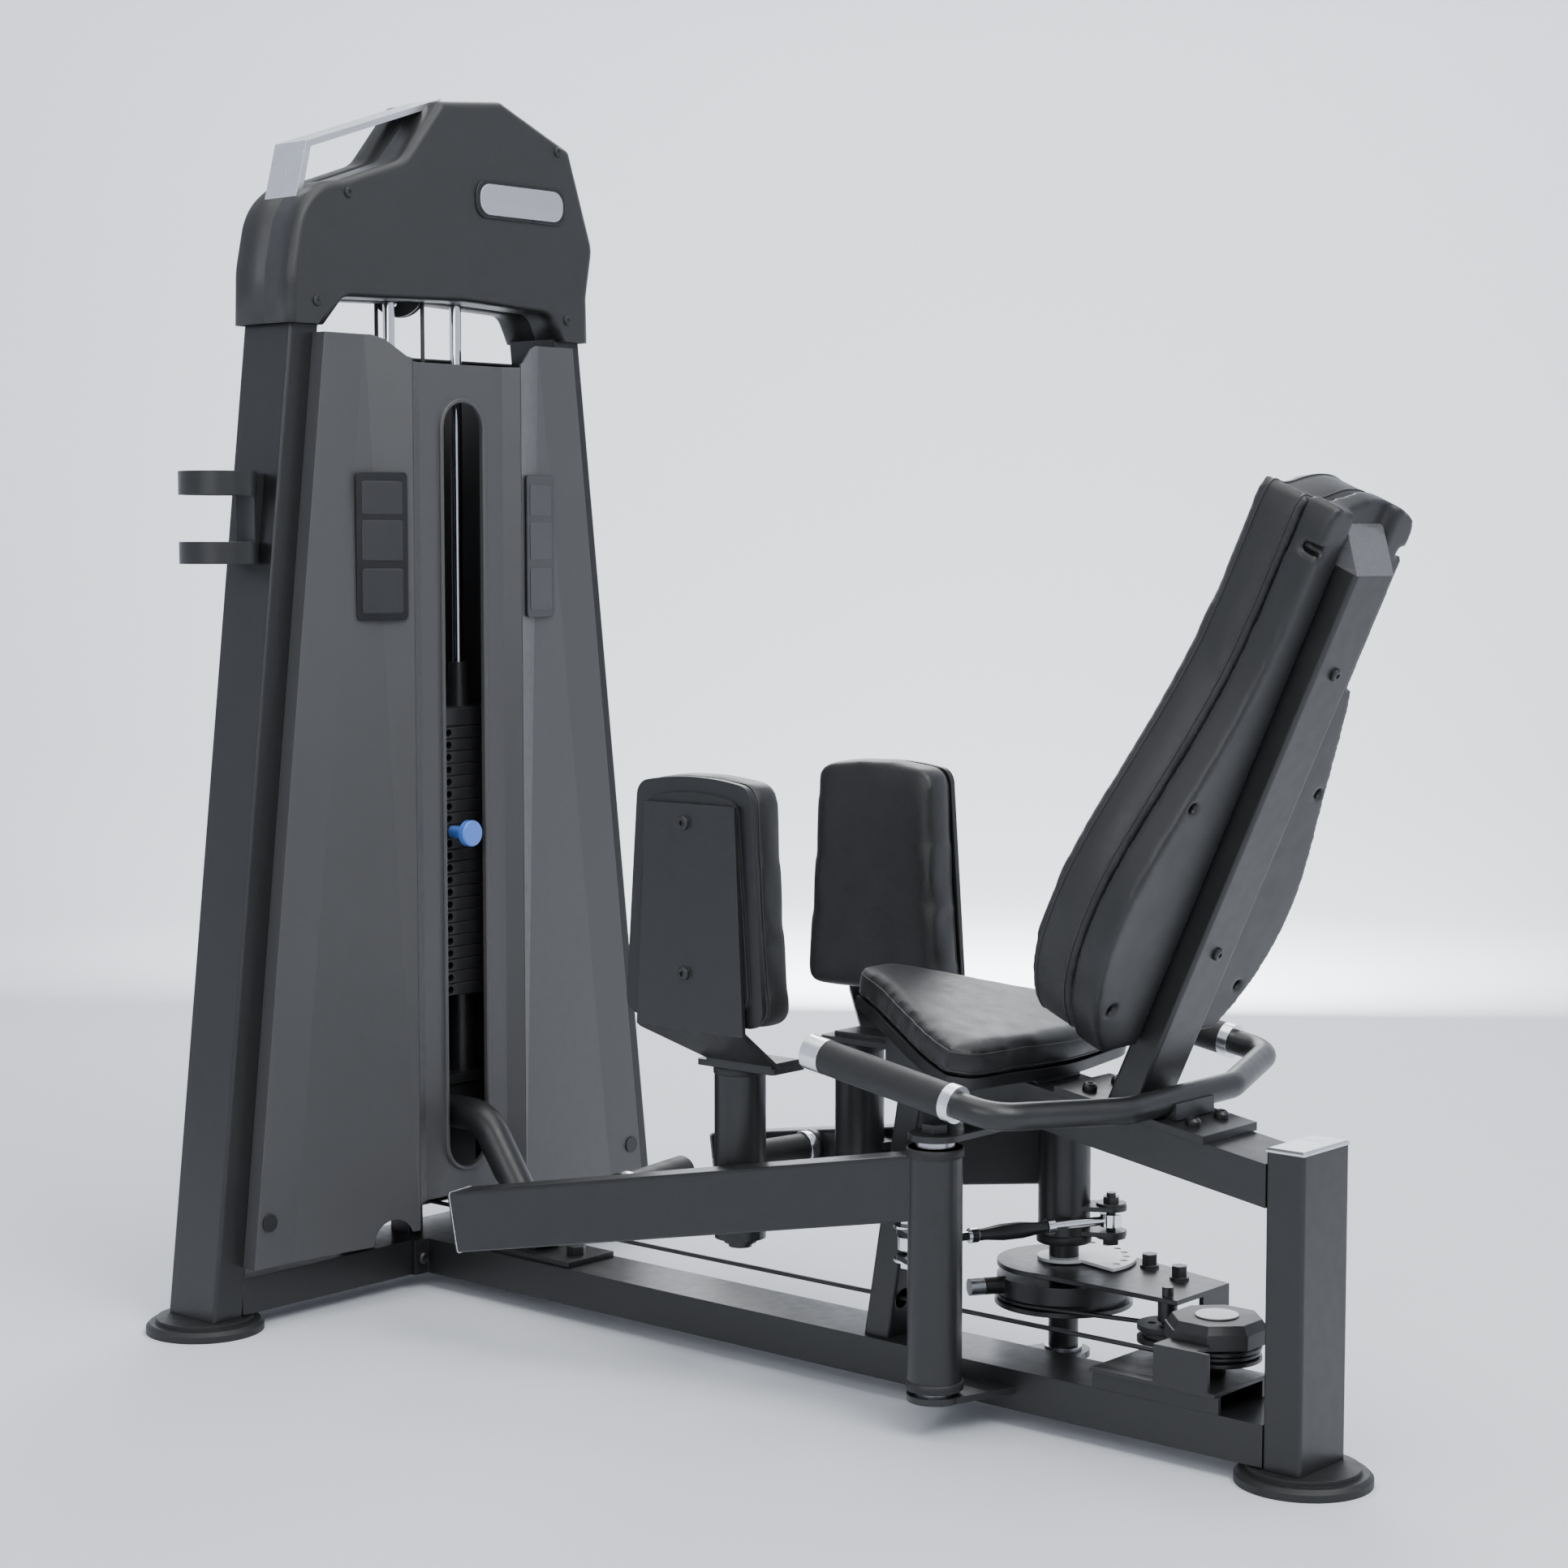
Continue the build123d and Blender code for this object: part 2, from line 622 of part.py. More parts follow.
def back_post_cap():
    """Wedge-shaped plug on the head of the back post."""
    corners = [back_point(557, 0, 26), back_point(557, 0, -14), back_point(603, 0, -14), back_point(600, 0, -9)]
    return side_profile([(p[0], p[2]) for p in corners], 40)


def back_flange():
    """Plate under the back post and the handle bar, with the bar's saddle."""
    corners = [(430, beam_top(430)), (640, beam_top(640)), (640, beam_top(640) + 10), (430, beam_top(430) + 10)]
    plate = side_profile(corners, 58)
    seat = block(552, 592, -40, 40, beam_top(552) + 5, 425)
    return plate + seat - rod((572, -60, 425), (572, 60, 425), 16)


def back_screws():
    """Button screws through the back post into the shell."""
    return group(*[socket_screw(back_point(s, 0, 26), BACK_N, 8, 5, 6) for s in (75, 436)])


# ---- handle bar ---------------------------------------------------------------------------------------
def handle_route(start_x):
    """Axis of the handle bar from one grip round behind the back post to the other."""
    slope = -0.1687
    z = 477.5 + (start_x - 260) * slope
    z_bend = 477.5 + (512 - 260) * slope
    with BuildLine() as line:
        FilletPolyline((start_x, -287, z), (512, -287, z_bend), (572, -110, 425), (572, 110, 425),
                       (512, 287, z_bend), (start_x, 287, z), radius=42)
    return line.wire()


def handle_bar():
    path = handle_route(252)
    start = Plane(origin=path @ 0, z_dir=path % 0)
    return sweep(start * Circle(16), path=path)


def along_grip(d0, d1, r_out, r_in, side):
    """Tube round the handle's straight, between distances from its front end."""
    path = handle_route(252)
    tangent = path % 0
    p, q = path @ 0 + tangent * d0, path @ 0 + tangent * d1
    part = rod(p, q, r_out)
    if r_in:
        part -= rod(p - tangent, q + tangent, r_in)
    return part if side < 0 else mirrored(part)


def handle_grips():
    return group(*[along_grip(18, 200, 20.5, 16, side) for side in (-1, 1)])


def handle_collars():
    """Aluminium end caps and rear collars of the grips."""
    parts = []
    for side in (-1, 1):
        parts.append(along_grip(-8, 0, 21, None, side) + along_grip(0, 18, 21, 16, side))
        parts.append(along_grip(200, 214, 22, 16, side))
    return group(*parts)


# ---- leg arms -----------------------------------------------------------------------------------------
ARM_DIR = (-cos(radians(ARM_SPLAY)) * cos(radians(ARM_DROP)),
           sin(radians(ARM_SPLAY)) * cos(radians(ARM_DROP)), -sin(radians(ARM_DROP)))
ARM_IN = (-sin(radians(ARM_SPLAY)), -cos(radians(ARM_SPLAY)), 0)


def arm_point(s, inward=0.0):
    """Point at distance s along the right arm's centre line, moved towards the machine's centre."""
    start = (PIVOT[0], PIVOT[1], ARM_Z)
    return tuple(a + s * d + inward * i for a, d, i in zip(start, ARM_DIR, ARM_IN))


def arm_beam():
    """Right arm's rectangular tube, cut round its pivot tube."""
    beam = bar(arm_point(0), arm_point(ARM_LENGTH), ARM_IN, *ARM_SECTION, wall=WALL)
    return beam - disc(*PIVOT, 0, 400, PIVOT_R)


def arm_cap():
    cap = bar(arm_point(ARM_LENGTH), arm_point(ARM_LENGTH + 4), ARM_IN, ARM_SECTION[0] + 1, ARM_SECTION[1] + 1)
    return chamfer(cap.faces().sort_by(Axis((0, 0, 0), ARM_DIR))[-1].edges(), 1.5)


def pivot_tube(z0):
    return ring(*PIVOT, z0, 352.6, PIVOT_R, SPINDLE_R + RUN_GAP)


def drive_sleeve():
    """Slim sleeve under the right pivot tube that turns the cam."""
    return ring(*PIVOT, 56, 190, 19, SPINDLE_R + RUN_GAP)


def lug_pair(angle, hole_r):
    """Two tie rod lugs on a pivot tube at +Y, at an angle about the pivot."""
    px, py = PIVOT
    ux, uy = cos(radians(angle)), sin(radians(angle))
    ex, ey = px + CRANK_R * ux, py + CRANK_R * uy
    lugs = []
    for z0 in (202.0, 234.0):
        web = [(px - 22 * uy, py + 22 * ux), (px + 22 * uy, py - 22 * ux),
               (ex + 20 * uy, ey - 20 * ux), (ex - 20 * uy, ey + 20 * ux)]
        lug = flat(web, z0, z0 + 6) + disc(ex, ey, z0, z0 + 6, 20)
        lugs.append(lug - disc(px, py, z0 - 1, z0 + 7, PIVOT_R) - disc(ex, ey, z0 - 1, z0 + 7, hole_r))
    return group(*lugs)


def tie_ends():
    """Tie rod bolt centres: on the right lug, and near the left lug."""
    px, py = PIVOT
    a = radians(CRANK_ANGLE)
    right = (px + CRANK_R * cos(a), py + CRANK_R * sin(a))
    t = radians(TIE_ANGLE)
    left = (right[0] - TIE_LENGTH * cos(t), right[1] - TIE_LENGTH * sin(t))
    return right, left


def tie_bolt(x, y):
    """Bolt with washers on both lugs, a head and a nut."""
    bolt = disc(x, y, 190, 256, TIE_BOLT_R)
    bolt += disc(x, y, 198.5, 201.8, 19) + disc(x, y, 240.2, 243.5, 19)
    return bolt + hexagon(x, y, 190, 198.5, 19) + hexagon(x, y, 243.5, 251, 19)


def tie_bolt_right():
    return tie_bolt(*tie_ends()[0])


def tie_bolt_left():
    return tie_bolt(*tie_ends()[1])


def tie_point(s):
    """Point on the tie rod's axis at distance s from the right bolt."""
    (rx, ry), _ = tie_ends()
    t = radians(TIE_ANGLE)
    return (rx - s * cos(t), ry - s * sin(t), TIE_Z)


def tie_rod_ends():
    """Two chrome rod ends with their shanks and lock nuts."""
    parts = []
    for s_eye, s_shank, s_nut in ((0.0, 95.0, 85.0), (TIE_LENGTH, 195.0, 195.0)):
        x, y, z = tie_point(s_eye)
        eye = disc(x, y, z - 8, z + 8, 14) + rod(tie_point(s_eye), tie_point(s_shank), 5.8)
        eye += rod(tie_point(s_nut), tie_point(s_nut + 10), 9.5)
        parts.append(eye - disc(x, y, z - 20, z + 20, TIE_BOLT_R + (RUN_GAP if s_eye == 0 else 0.0)))
    return group(*parts)


def turnbuckle():
    """Black hexagonal adjusting sleeve between the rod ends."""
    p, q = tie_point(95), tie_point(195)
    axis = Vector(*q) - Vector(*p)
    plane = Plane(origin=p, z_dir=axis)
    return extrude(plane * RegularPolygon(10.5, 6, major_radius=False), axis.length)


def pad_post():
    """Bearing tube for the thigh pad with its ears to the right arm."""
    x, y = PAD_POST
    post = ring(x, y, *PAD_POST_Z, PAD_POST_R, 15 + RUN_GAP)
    for z0 in (222.0, 268.0):
        p, q = arm_point(290, 24), arm_point(358, 24)
        ear = [(p[0], p[1]), (q[0], q[1]), (x - 30, y), (x + 30, y)]
        post += flat(ear, z0, z0 + 10) - disc(x, y, z0 - 1, z0 + 11, PAD_POST_R - 1)
    outside = bar(arm_point(150), arm_point(500), ARM_IN, *ARM_SECTION)
    return post - outside


def pad_spindle():
    """Pin that swivels in the pad post, with its retaining ring and top plate."""
    x, y = PAD_POST
    pin = disc(x, y, 178, 413, 15) + disc(x, y, 183.5, 189.8, 21)
    plate = block(x - 45, x + 85, y - 30, y + 34, 412.2, 420.2)
    return pin + fillet(plate.edges().filter_by(Axis.Z), 6)


def pad_bracket():
    """Bent plate from the swivel's top plate up the back of the thigh pad."""
    face = Plane(origin=(0, 214.2, 0), x_dir=(1, 0, 0), z_dir=(0, -1, 0))
    panel = prism(face, Polygon((-108, 470), (72, 470), (58, 752), (-92, 752), align=None), 6)
    slope = Plane(origin=(-108, 0, 0), x_dir=(0, 1, 0), z_dir=(1, 0, 0))
    run = [(208.2, 472), (214.2, 472), (214.2, 468), (150, 420.2), (141, 420.2)]
    web = prism(slope, Polygon(*run, align=None), 180)
    corner = flat([(-109, 100), (-40, 100), (-40, 150), (-109, 208)], 415, 476)
    foot = block(-44, 66, 100, 153.6, 420.2, 426.2)
    return panel + (web - corner) + foot


def pad_outline(grow):
    """Thigh pad seen square on: wider at the bottom, crowned at the top."""
    half_low, half_top = 120.0 + grow, 98.0 + grow
    with BuildLine() as line:
        low = Line((-20 - half_low, 475 - grow), (-20 + half_low, 475 - grow))
        right = Line(low @ 1, (-20 + half_top, 778 + grow))
        top = ThreePointArc(right @ 1, (-20, 788 + grow), (-20 - half_top, 778 + grow))
        Line(top @ 1, low @ 0)
    face = make_face(line.wire())
    return fillet(face.vertices(), 22)


def pad_face(y):
    return Plane(origin=(0, y, 0), x_dir=(1, 0, 0), z_dir=(0, -1, 0))


def pad_cushion():
    return prism(pad_face(196), pad_outline(-1), 50)


def pad_board():
    """Backing board with the raised field that the bracket bolts to."""
    board = prism(pad_face(204), pad_outline(-3), 7.8)
    field = prism(pad_face(208), pad_outline(-22), 4)
    return board + field


def pad_screws():
    return group(*[socket_screw((-25, 214.2, z), (0, 1, 0), 9, 6, 6) for z in (539, 728)])


def foot_peg():
    """Peg core with its root flange."""
    p, q = peg_point(25), peg_point(170)
    return rod(p, q, 11) + rod(p, peg_point(33), 24)


def peg_point(inward):
    x, y, _ = arm_point(PEG_AT, inward)
    return (x, y, PEG_Z)


def peg_grip():
    return rod(peg_point(47), peg_point(174), 20.5) - rod(peg_point(40), peg_point(170), 11)


# ---- cable drive --------------------------------------------------------------------------------------
def pulley(r, width, bore):
    """Grooved wheel about +Z with pitch radius r."""
    rim = r + 4.5
    groove = r - CABLE_R - 0.2
    profile = [(bore, -width / 2), (rim, -width / 2), (rim, -4.6), (groove, -3.2), (groove, 3.2),
               (rim, 4.6), (rim, width / 2), (bore, width / 2)]
    wheel = revolve(Plane.XZ * Polygon(*profile, align=None), Axis.Z)
    for i in range(5):
        a = radians(72 * i)
        wheel -= Pos(0.58 * r * cos(a), 0.58 * r * sin(a), 0) * Cylinder(0.17 * r, width + 2)
    return wheel


def tangent_points(c1, turn1, c2, turn2):
    """Straight cable between two round guides (x, y, r); turn is +1 anticlockwise, -1 clockwise."""
    dx, dy = c2[0] - c1[0], c2[1] - c1[1]
    swing = asin((turn1 * c1[2] - turn2 * c2[2]) / hypot(dx, dy))
    a = atan2(dy, dx) + swing
    side = (sin(a), -cos(a))
    p = (c1[0] + turn1 * c1[2] * side[0], c1[1] + turn1 * c1[2] * side[1])
    q = (c2[0] + turn2 * c2[2] * side[0], c2[1] + turn2 * c2[2] * side[1])
    return p, q


CAM_CIRCLE = (PIVOT[0], PIVOT[1], CAM_PITCH)
RUN_START = (RISER_X + LOW_PULLEY_R, TOWER_RUN_Y, 0.0)


def run_direction():
    """Unit direction of the long floor run, from the tower to the big pulley."""
    p, q = tangent_points(RUN_START, 1, BIG_PULLEY, 1)
    length = hypot(q[0] - p[0], q[1] - p[1])
    return ((q[0] - p[0]) / length, (q[1] - p[1]) / length)


def riser_point():
    ex, ey = run_direction()
    return (RUN_START[0] - LOW_PULLEY_R * ex, RUN_START[1] - LOW_PULLEY_R * ey)


def top_pulley_centre():
    rx, ry = riser_point()
    return ((rx + LIFT[0]) / 2, (ry + LIFT[1]) / 2)


def top_pulley_radius():
    rx, ry = riser_point()
    return hypot(rx - LIFT[0], ry - LIFT[1]) / 2


def top_pulley_axis():
    """Horizontal axis of the top pulley, square to the line from the riser to the lift cable."""
    rx, ry = riser_point()
    length = hypot(rx - LIFT[0], ry - LIFT[1])
    return (-(ry - LIFT[1]) / length, (rx - LIFT[0]) / length)


def arc_mid(centre, p, q, turn):
    """Point half way round the arc from p to q about centre, in the floor plane."""
    a = atan2(p[1] - centre[1], p[0] - centre[0])
    b = atan2(q[1] - centre[1], q[0] - centre[0])
    sweep_angle = ((b - a) * turn) % (2 * 3.141592653589793)
    mid = a + turn * sweep_angle / 2
    return (centre[0] + centre[2] * cos(mid), centre[1] + centre[2] * sin(mid))


def floor_cable():
    """Cable from the top pulley down the tower, along the floor and round the cam."""
    rx, ry = riser_point()
    cx, cy = top_pulley_centre()
    ex, ey = run_direction()
    z_low = CABLE_Z + LOW_PULLEY_R
    c45 = cos(radians(45)) * LOW_PULLEY_R
    sx, sy, _ = RUN_START
    run_a, run_b = tangent_points(RUN_START, 1, BIG_PULLEY, 1)
    hop_a, hop_b = tangent_points(BIG_PULLEY, 1, SMALL_PULLEY, 1)
    pull_a, pull_b = tangent_points(SMALL_PULLEY, 1, CAM_CIRCLE, -1)
    wrap_end = (CAM_CIRCLE[0] - CAM_PITCH, CAM_CIRCLE[1])

    def at(point):
        return (point[0], point[1], CABLE_Z)

    with BuildLine() as line:
        ThreePointArc((LIFT[0], LIFT[1], TOP_PULLEY_Z), (cx, cy, TOP_PULLEY_Z + top_pulley_radius()),
                      (rx, ry, TOP_PULLEY_Z))
        Line((rx, ry, TOP_PULLEY_Z), (rx, ry, z_low))
        ThreePointArc((rx, ry, z_low), (sx - c45 * ex, sy - c45 * ey, z_low - c45), (sx, sy, CABLE_Z))
        Line((sx, sy, CABLE_Z), at(run_b))
        ThreePointArc(at(run_b), at(arc_mid(BIG_PULLEY, run_b, hop_a, 1)), at(hop_a))
        Line(at(hop_a), at(hop_b))
        ThreePointArc(at(hop_b), at(arc_mid(SMALL_PULLEY, hop_b, pull_a, 1)), at(pull_a))
        Line(at(pull_a), at(pull_b))
        ThreePointArc(at(pull_b), at(arc_mid(CAM_CIRCLE, pull_b, wrap_end, -1)), at(wrap_end))
    path = line.wire()
    start = Plane(origin=path @ 0, z_dir=path % 0)
    return sweep(start * Circle(CABLE_R), path=path)


def lift_cable():
    """Stretch of cable between the stack and the top pulley."""
    return disc(*LIFT, stack_top() + 45, TOP_PULLEY_Z, CABLE_R)


def low_pulley():
    ex, ey = run_direction()
    plane = Plane(origin=(RUN_START[0], RUN_START[1], CABLE_Z + LOW_PULLEY_R), z_dir=(-ey, ex, 0))
    return plane * pulley(LOW_PULLEY_R, 18, 6 + RUN_GAP)


def low_pulley_bracket():
    """Two cheeks on the floor beam with the pulley's axle."""
    ex, ey = run_direction()
    origin = (RUN_START[0], RUN_START[1], CABLE_Z + LOW_PULLEY_R)
    plane = Plane(origin=origin, x_dir=(ex, ey, 0), z_dir=(ey, -ex, 0))
    z_drop = origin[2] - BEAM_Z[1]
    bracket = extrude(plane.offset(-11) * Circle(6), 22)
    for side in (11, -15):
        cheek = Pos(0, 8 - z_drop / 2) * Rectangle(36, z_drop + 16)
        bracket += prism(plane.offset(side), cheek, 4)
    return bracket


def top_pulley():
    cx, cy = top_pulley_centre()
    nx, ny = top_pulley_axis()
    plane = Plane(origin=(cx, cy, TOP_PULLEY_Z), z_dir=(nx, ny, 0))
    return plane * pulley(top_pulley_radius(), 18, 6 + RUN_GAP)


def big_pulley():
    return Pos(BIG_PULLEY[0], BIG_PULLEY[1], CABLE_Z) * pulley(BIG_PULLEY[2], 18, 8 + RUN_GAP)


def big_pulley_axle():
    return disc(BIG_PULLEY[0], BIG_PULLEY[1], 110, 135, 8)


def big_pulley_cover():
    """Faceted black cover over the big pulley."""
    x, y, _ = BIG_PULLEY
    lower = Pos(x, y, 135) * extrude(RegularPolygon(58, 8, major_radius=False, rotation=22.5), 18)
    upper = Pos(x, y, 153) * extrude(RegularPolygon(56, 8, major_radius=False, rotation=22.5), 10, taper=32)
    return lower + upper


def cover_disc():
    return disc(BIG_PULLEY[0], BIG_PULLEY[1], 163, 164.5, 26)


def small_pulley():
    return Pos(SMALL_PULLEY[0], SMALL_PULLEY[1], CABLE_Z) * pulley(SMALL_PULLEY[2], 22, 7 + RUN_GAP)


def cam_bracket():
    """Fixed plate over the cam with the small pulley's axle and its turned-down end."""
    px, py = PIVOT
    plate = disc(px, py, 160, 166, 85) + flat([(px, 50), (536, 50), (536, 166), (px, py + 84)], 160, 166)
    plate += block(530, 536, 108, 166, 98, 160)
    plate += disc(SMALL_PULLEY[0], SMALL_PULLEY[1], 98, 178, 7)
    plate += disc(SMALL_PULLEY[0], SMALL_PULLEY[1], 136, 160, 12)
    for x, y in ((417, 168), (480, 140)):
        plate += disc(x, y, 166, 170, 12) + hexagon(x, y, 170, 184, 18)
    return plate - disc(px, py, 100, 200, 19 + RUN_GAP)


def cam():
    """Grooved cable drum on the drive sleeve, with the radial boss of the start pin."""
    px, py = PIVOT
    groove = CAM_PITCH - CABLE_R - 0.2
    drum = disc(px, py, 112, 118, 88) + disc(px, py, 118, 126, groove) + disc(px, py, 126, 149, 85)
    drum += rod(pin_point(80), pin_point(108), 11)
    drum -= disc(px, py, 100, 160, 19)
    return drum - rod(pin_point(60), pin_point(120), 6 + RUN_GAP)


PIN_ANGLE = 237.6


def pin_point(r):
    """Point on the start pin's axis at distance r from the right pivot."""
    a = radians(PIN_ANGLE)
    return (PIVOT[0] + r * cos(a), PIVOT[1] + r * sin(a), 139.0)


def start_pin():
    """Spring pin that sets the arms' starting angle, with its pull knob."""
    pin = rod(pin_point(66), pin_point(112), 6) + rod(pin_point(109), pin_point(128), 11)
    return pin


def sector():
    """White quadrant on the drive sleeve with its row of start-angle holes."""
    px, py = PIVOT
    quadrant = flat([(px, py), (px + 130, py - 30), (px + 130, py + 130), (px - 40, py + 130)], 160, 180)
    plate = disc(px, py, 168, 172, 92) & quadrant
    plate += disc(px, py, 168, 172, 34)
    for i in range(7):
        a = radians(2 + 16 * i)
        plate -= disc(px + 79 * cos(a), py + 79 * sin(a), 160, 180, 5)
    return plate - disc(px, py, 160, 180, 19)


# ---- export -------------------------------------------------------------------------------------------
def right_arm():
    """Right leg arm: beam, pivot tube, lugs, pad post, drive sleeve, end cap, peg core and tie rod bolt."""
    arm = arm_beam() + pivot_tube(190) + drive_sleeve() + lug_pair(CRANK_ANGLE, TIE_BOLT_R)
    return arm + pad_post() + arm_cap() + foot_peg() + tie_bolt_right()


def left_arm():
    """Left leg arm, with the longer pivot tube and the slack hole for the tie rod's bolt."""
    arm = arm_beam() + pivot_tube(56) + pad_post() + arm_cap() + foot_peg()
    return mirrored(arm + lug_pair(180 + CRANK_ANGLE, LUG_SLACK_R))


def pad_swivel():
    """Swivelling pin, top plate, bent pad bracket and its screws."""
    return pad_spindle() + pad_bracket() + pad_screws()


def both_sides(make):
    """A right-hand part and its mirror image in one group."""
    return group(make(), mirrored(make()))


def fasteners():
    """Every visible screw, bolt and snap plug of the fixed frame."""
    return group(frame_bolts(), back_screws(), shroud_screws(), both_sides(plug))


def pulley_mounts():
    """Saddle, cheeks, axles and cam bracket that hold the four pulleys."""
    return group(saddle() + big_pulley_axle(), low_pulley_bracket(), cam_bracket())


def frame_nodes():
    """Fixed sub-parts by node name."""
    return {
        "tower_columns": both_sides(column_solid),
        "floor_discs": group(foot_disc(TOWER_X, 408), foot_disc(TOWER_X, -408), foot_disc(REAR_X, 0)),
        "tower_cross_members": group(base_beam(), top_cross_member()),
        "guide_rods": guide_rods(),
        "stack_bench": group(stack_base(), bumpers()),
        "resting_plates": plates(0, PLATE_COUNT - LIFTED),
        "front_cover_wings": both_sides(front_wing),
        "front_panel": front_panel(),
        "rear_cover": rear_cover(),
        "blank_plates": group(both_sides(placard), badge()),
        "guard_tube": guard_tube(),
        "cup_holder": cup_holder(),
        "shroud_front": shroud_front(),
        "shroud_rear": shroud_rear(),
        "carry_handle": carry_handle(),
        "main_beam": main_beam(),
        "pulley_mounts": pulley_mounts(),
        "big_pulley_cover": big_pulley_cover() + cover_disc(),
        "pivot_plates": group(pivot_plates(), pivot_bridge()),
        "pivot_spindles": pivot_spindles(),
        "frame_fasteners": fasteners(),
        "rear_post": rear_post(),
        "post_caps": group(rear_post_cap(), back_post_cap()),
        "seat_beam": seat_beam(),
        "seat_post": seat_post(),
        "seat_brackets": group(seat_brackets(), back_flange()),
        "seat_board": seat_board(),
        "seat_cushion": seat_cushion(),
        "back_post": back_post(),
        "back_shell": back_shell(),
        "back_cushion": back_cushion(),
        "handle_bar": handle_bar(),
        "handle_grips": handle_grips(),
        "handle_collars": handle_collars(),
        "floor_cable": floor_cable(),
    }


def moving_nodes():
    """Moving sub-parts by node name."""
    nodes = {
        "lifted_plates": plates(PLATE_COUNT - LIFTED, PLATE_COUNT),
        "top_plate": top_plate(),
        "selector_stem": selector_stem(),
        "selector_pin": selector_pin(),
        "selector_knob": selector_knob(),
        "lift_cable": lift_cable(),
        "right_arm": right_arm(),
        "left_arm": left_arm(),
        "cam": cam(),
        "sector": sector(),
        "start_pin": start_pin(),
        "tie_rod": group(tie_rod_ends(), tie_bolt_left()),
        "turnbuckle": turnbuckle(),
        "low_pulley": low_pulley(),
        "top_pulley": top_pulley(),
        "big_pulley": big_pulley(),
        "small_pulley": small_pulley(),
    }
    for name, make in (("pad_swivel", pad_swivel), ("pad_board", pad_board),
                       ("pad_cushion", pad_cushion), ("peg_grip", peg_grip)):
        nodes["right_" + name] = make()
        nodes["left_" + name] = mirrored(make())
    return nodes


if __name__ == "__main__":
    os.makedirs("parts", exist_ok=True)
    for name, shape in {**frame_nodes(), **moving_nodes()}.items():
        export_step(shape, f"parts/{name}.step")
        print(name, round(shape.volume / 1000, 1), "cm3")
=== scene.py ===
"""Looks of the hip abductor machine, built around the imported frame: camera, studio, materials, upholstery
and trim.  Metres.  Positions that repeat a CAD dimension are named where they are used."""
import json
import math

import bmesh
import bpy
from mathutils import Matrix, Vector


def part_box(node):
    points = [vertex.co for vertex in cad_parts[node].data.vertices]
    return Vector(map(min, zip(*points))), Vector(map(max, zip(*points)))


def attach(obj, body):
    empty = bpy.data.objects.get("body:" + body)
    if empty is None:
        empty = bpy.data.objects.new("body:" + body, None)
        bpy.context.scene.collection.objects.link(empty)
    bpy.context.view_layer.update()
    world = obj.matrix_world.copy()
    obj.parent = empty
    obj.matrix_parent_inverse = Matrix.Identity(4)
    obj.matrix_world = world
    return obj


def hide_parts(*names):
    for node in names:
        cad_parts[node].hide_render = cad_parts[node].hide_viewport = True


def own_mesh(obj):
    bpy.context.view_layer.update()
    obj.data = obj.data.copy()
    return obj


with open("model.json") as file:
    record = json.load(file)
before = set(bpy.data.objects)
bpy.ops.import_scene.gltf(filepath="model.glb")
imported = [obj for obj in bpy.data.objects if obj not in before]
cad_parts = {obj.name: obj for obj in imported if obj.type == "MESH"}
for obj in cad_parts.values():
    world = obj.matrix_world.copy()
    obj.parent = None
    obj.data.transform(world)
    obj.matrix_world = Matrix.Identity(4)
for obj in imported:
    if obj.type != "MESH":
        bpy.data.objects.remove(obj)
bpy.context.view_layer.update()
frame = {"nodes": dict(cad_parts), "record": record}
NODES = frame["nodes"]

# ---- camera ---------------------------------------------------------------------------------------------
CAMERA_AT = (2.4874, -2.9147, 1.0700)
TURN, PITCH = math.radians(41.0022), math.radians(4.5546)
LENS_MM, SENSOR_MM = 68.32, 36.0


def make_camera():
    """Level camera, a little above the seat, looking slightly down at the machine."""
    data = bpy.data.cameras.new("camera")
    data.lens, data.sensor_width = LENS_MM, SENSOR_MM
    camera = bpy.data.objects.new("camera", data)
    camera.location = CAMERA_AT
    camera.rotation_euler = (math.pi / 2 - PITCH, 0, TURN)
    bpy.context.scene.collection.objects.link(camera)
    bpy.context.scene.camera = camera


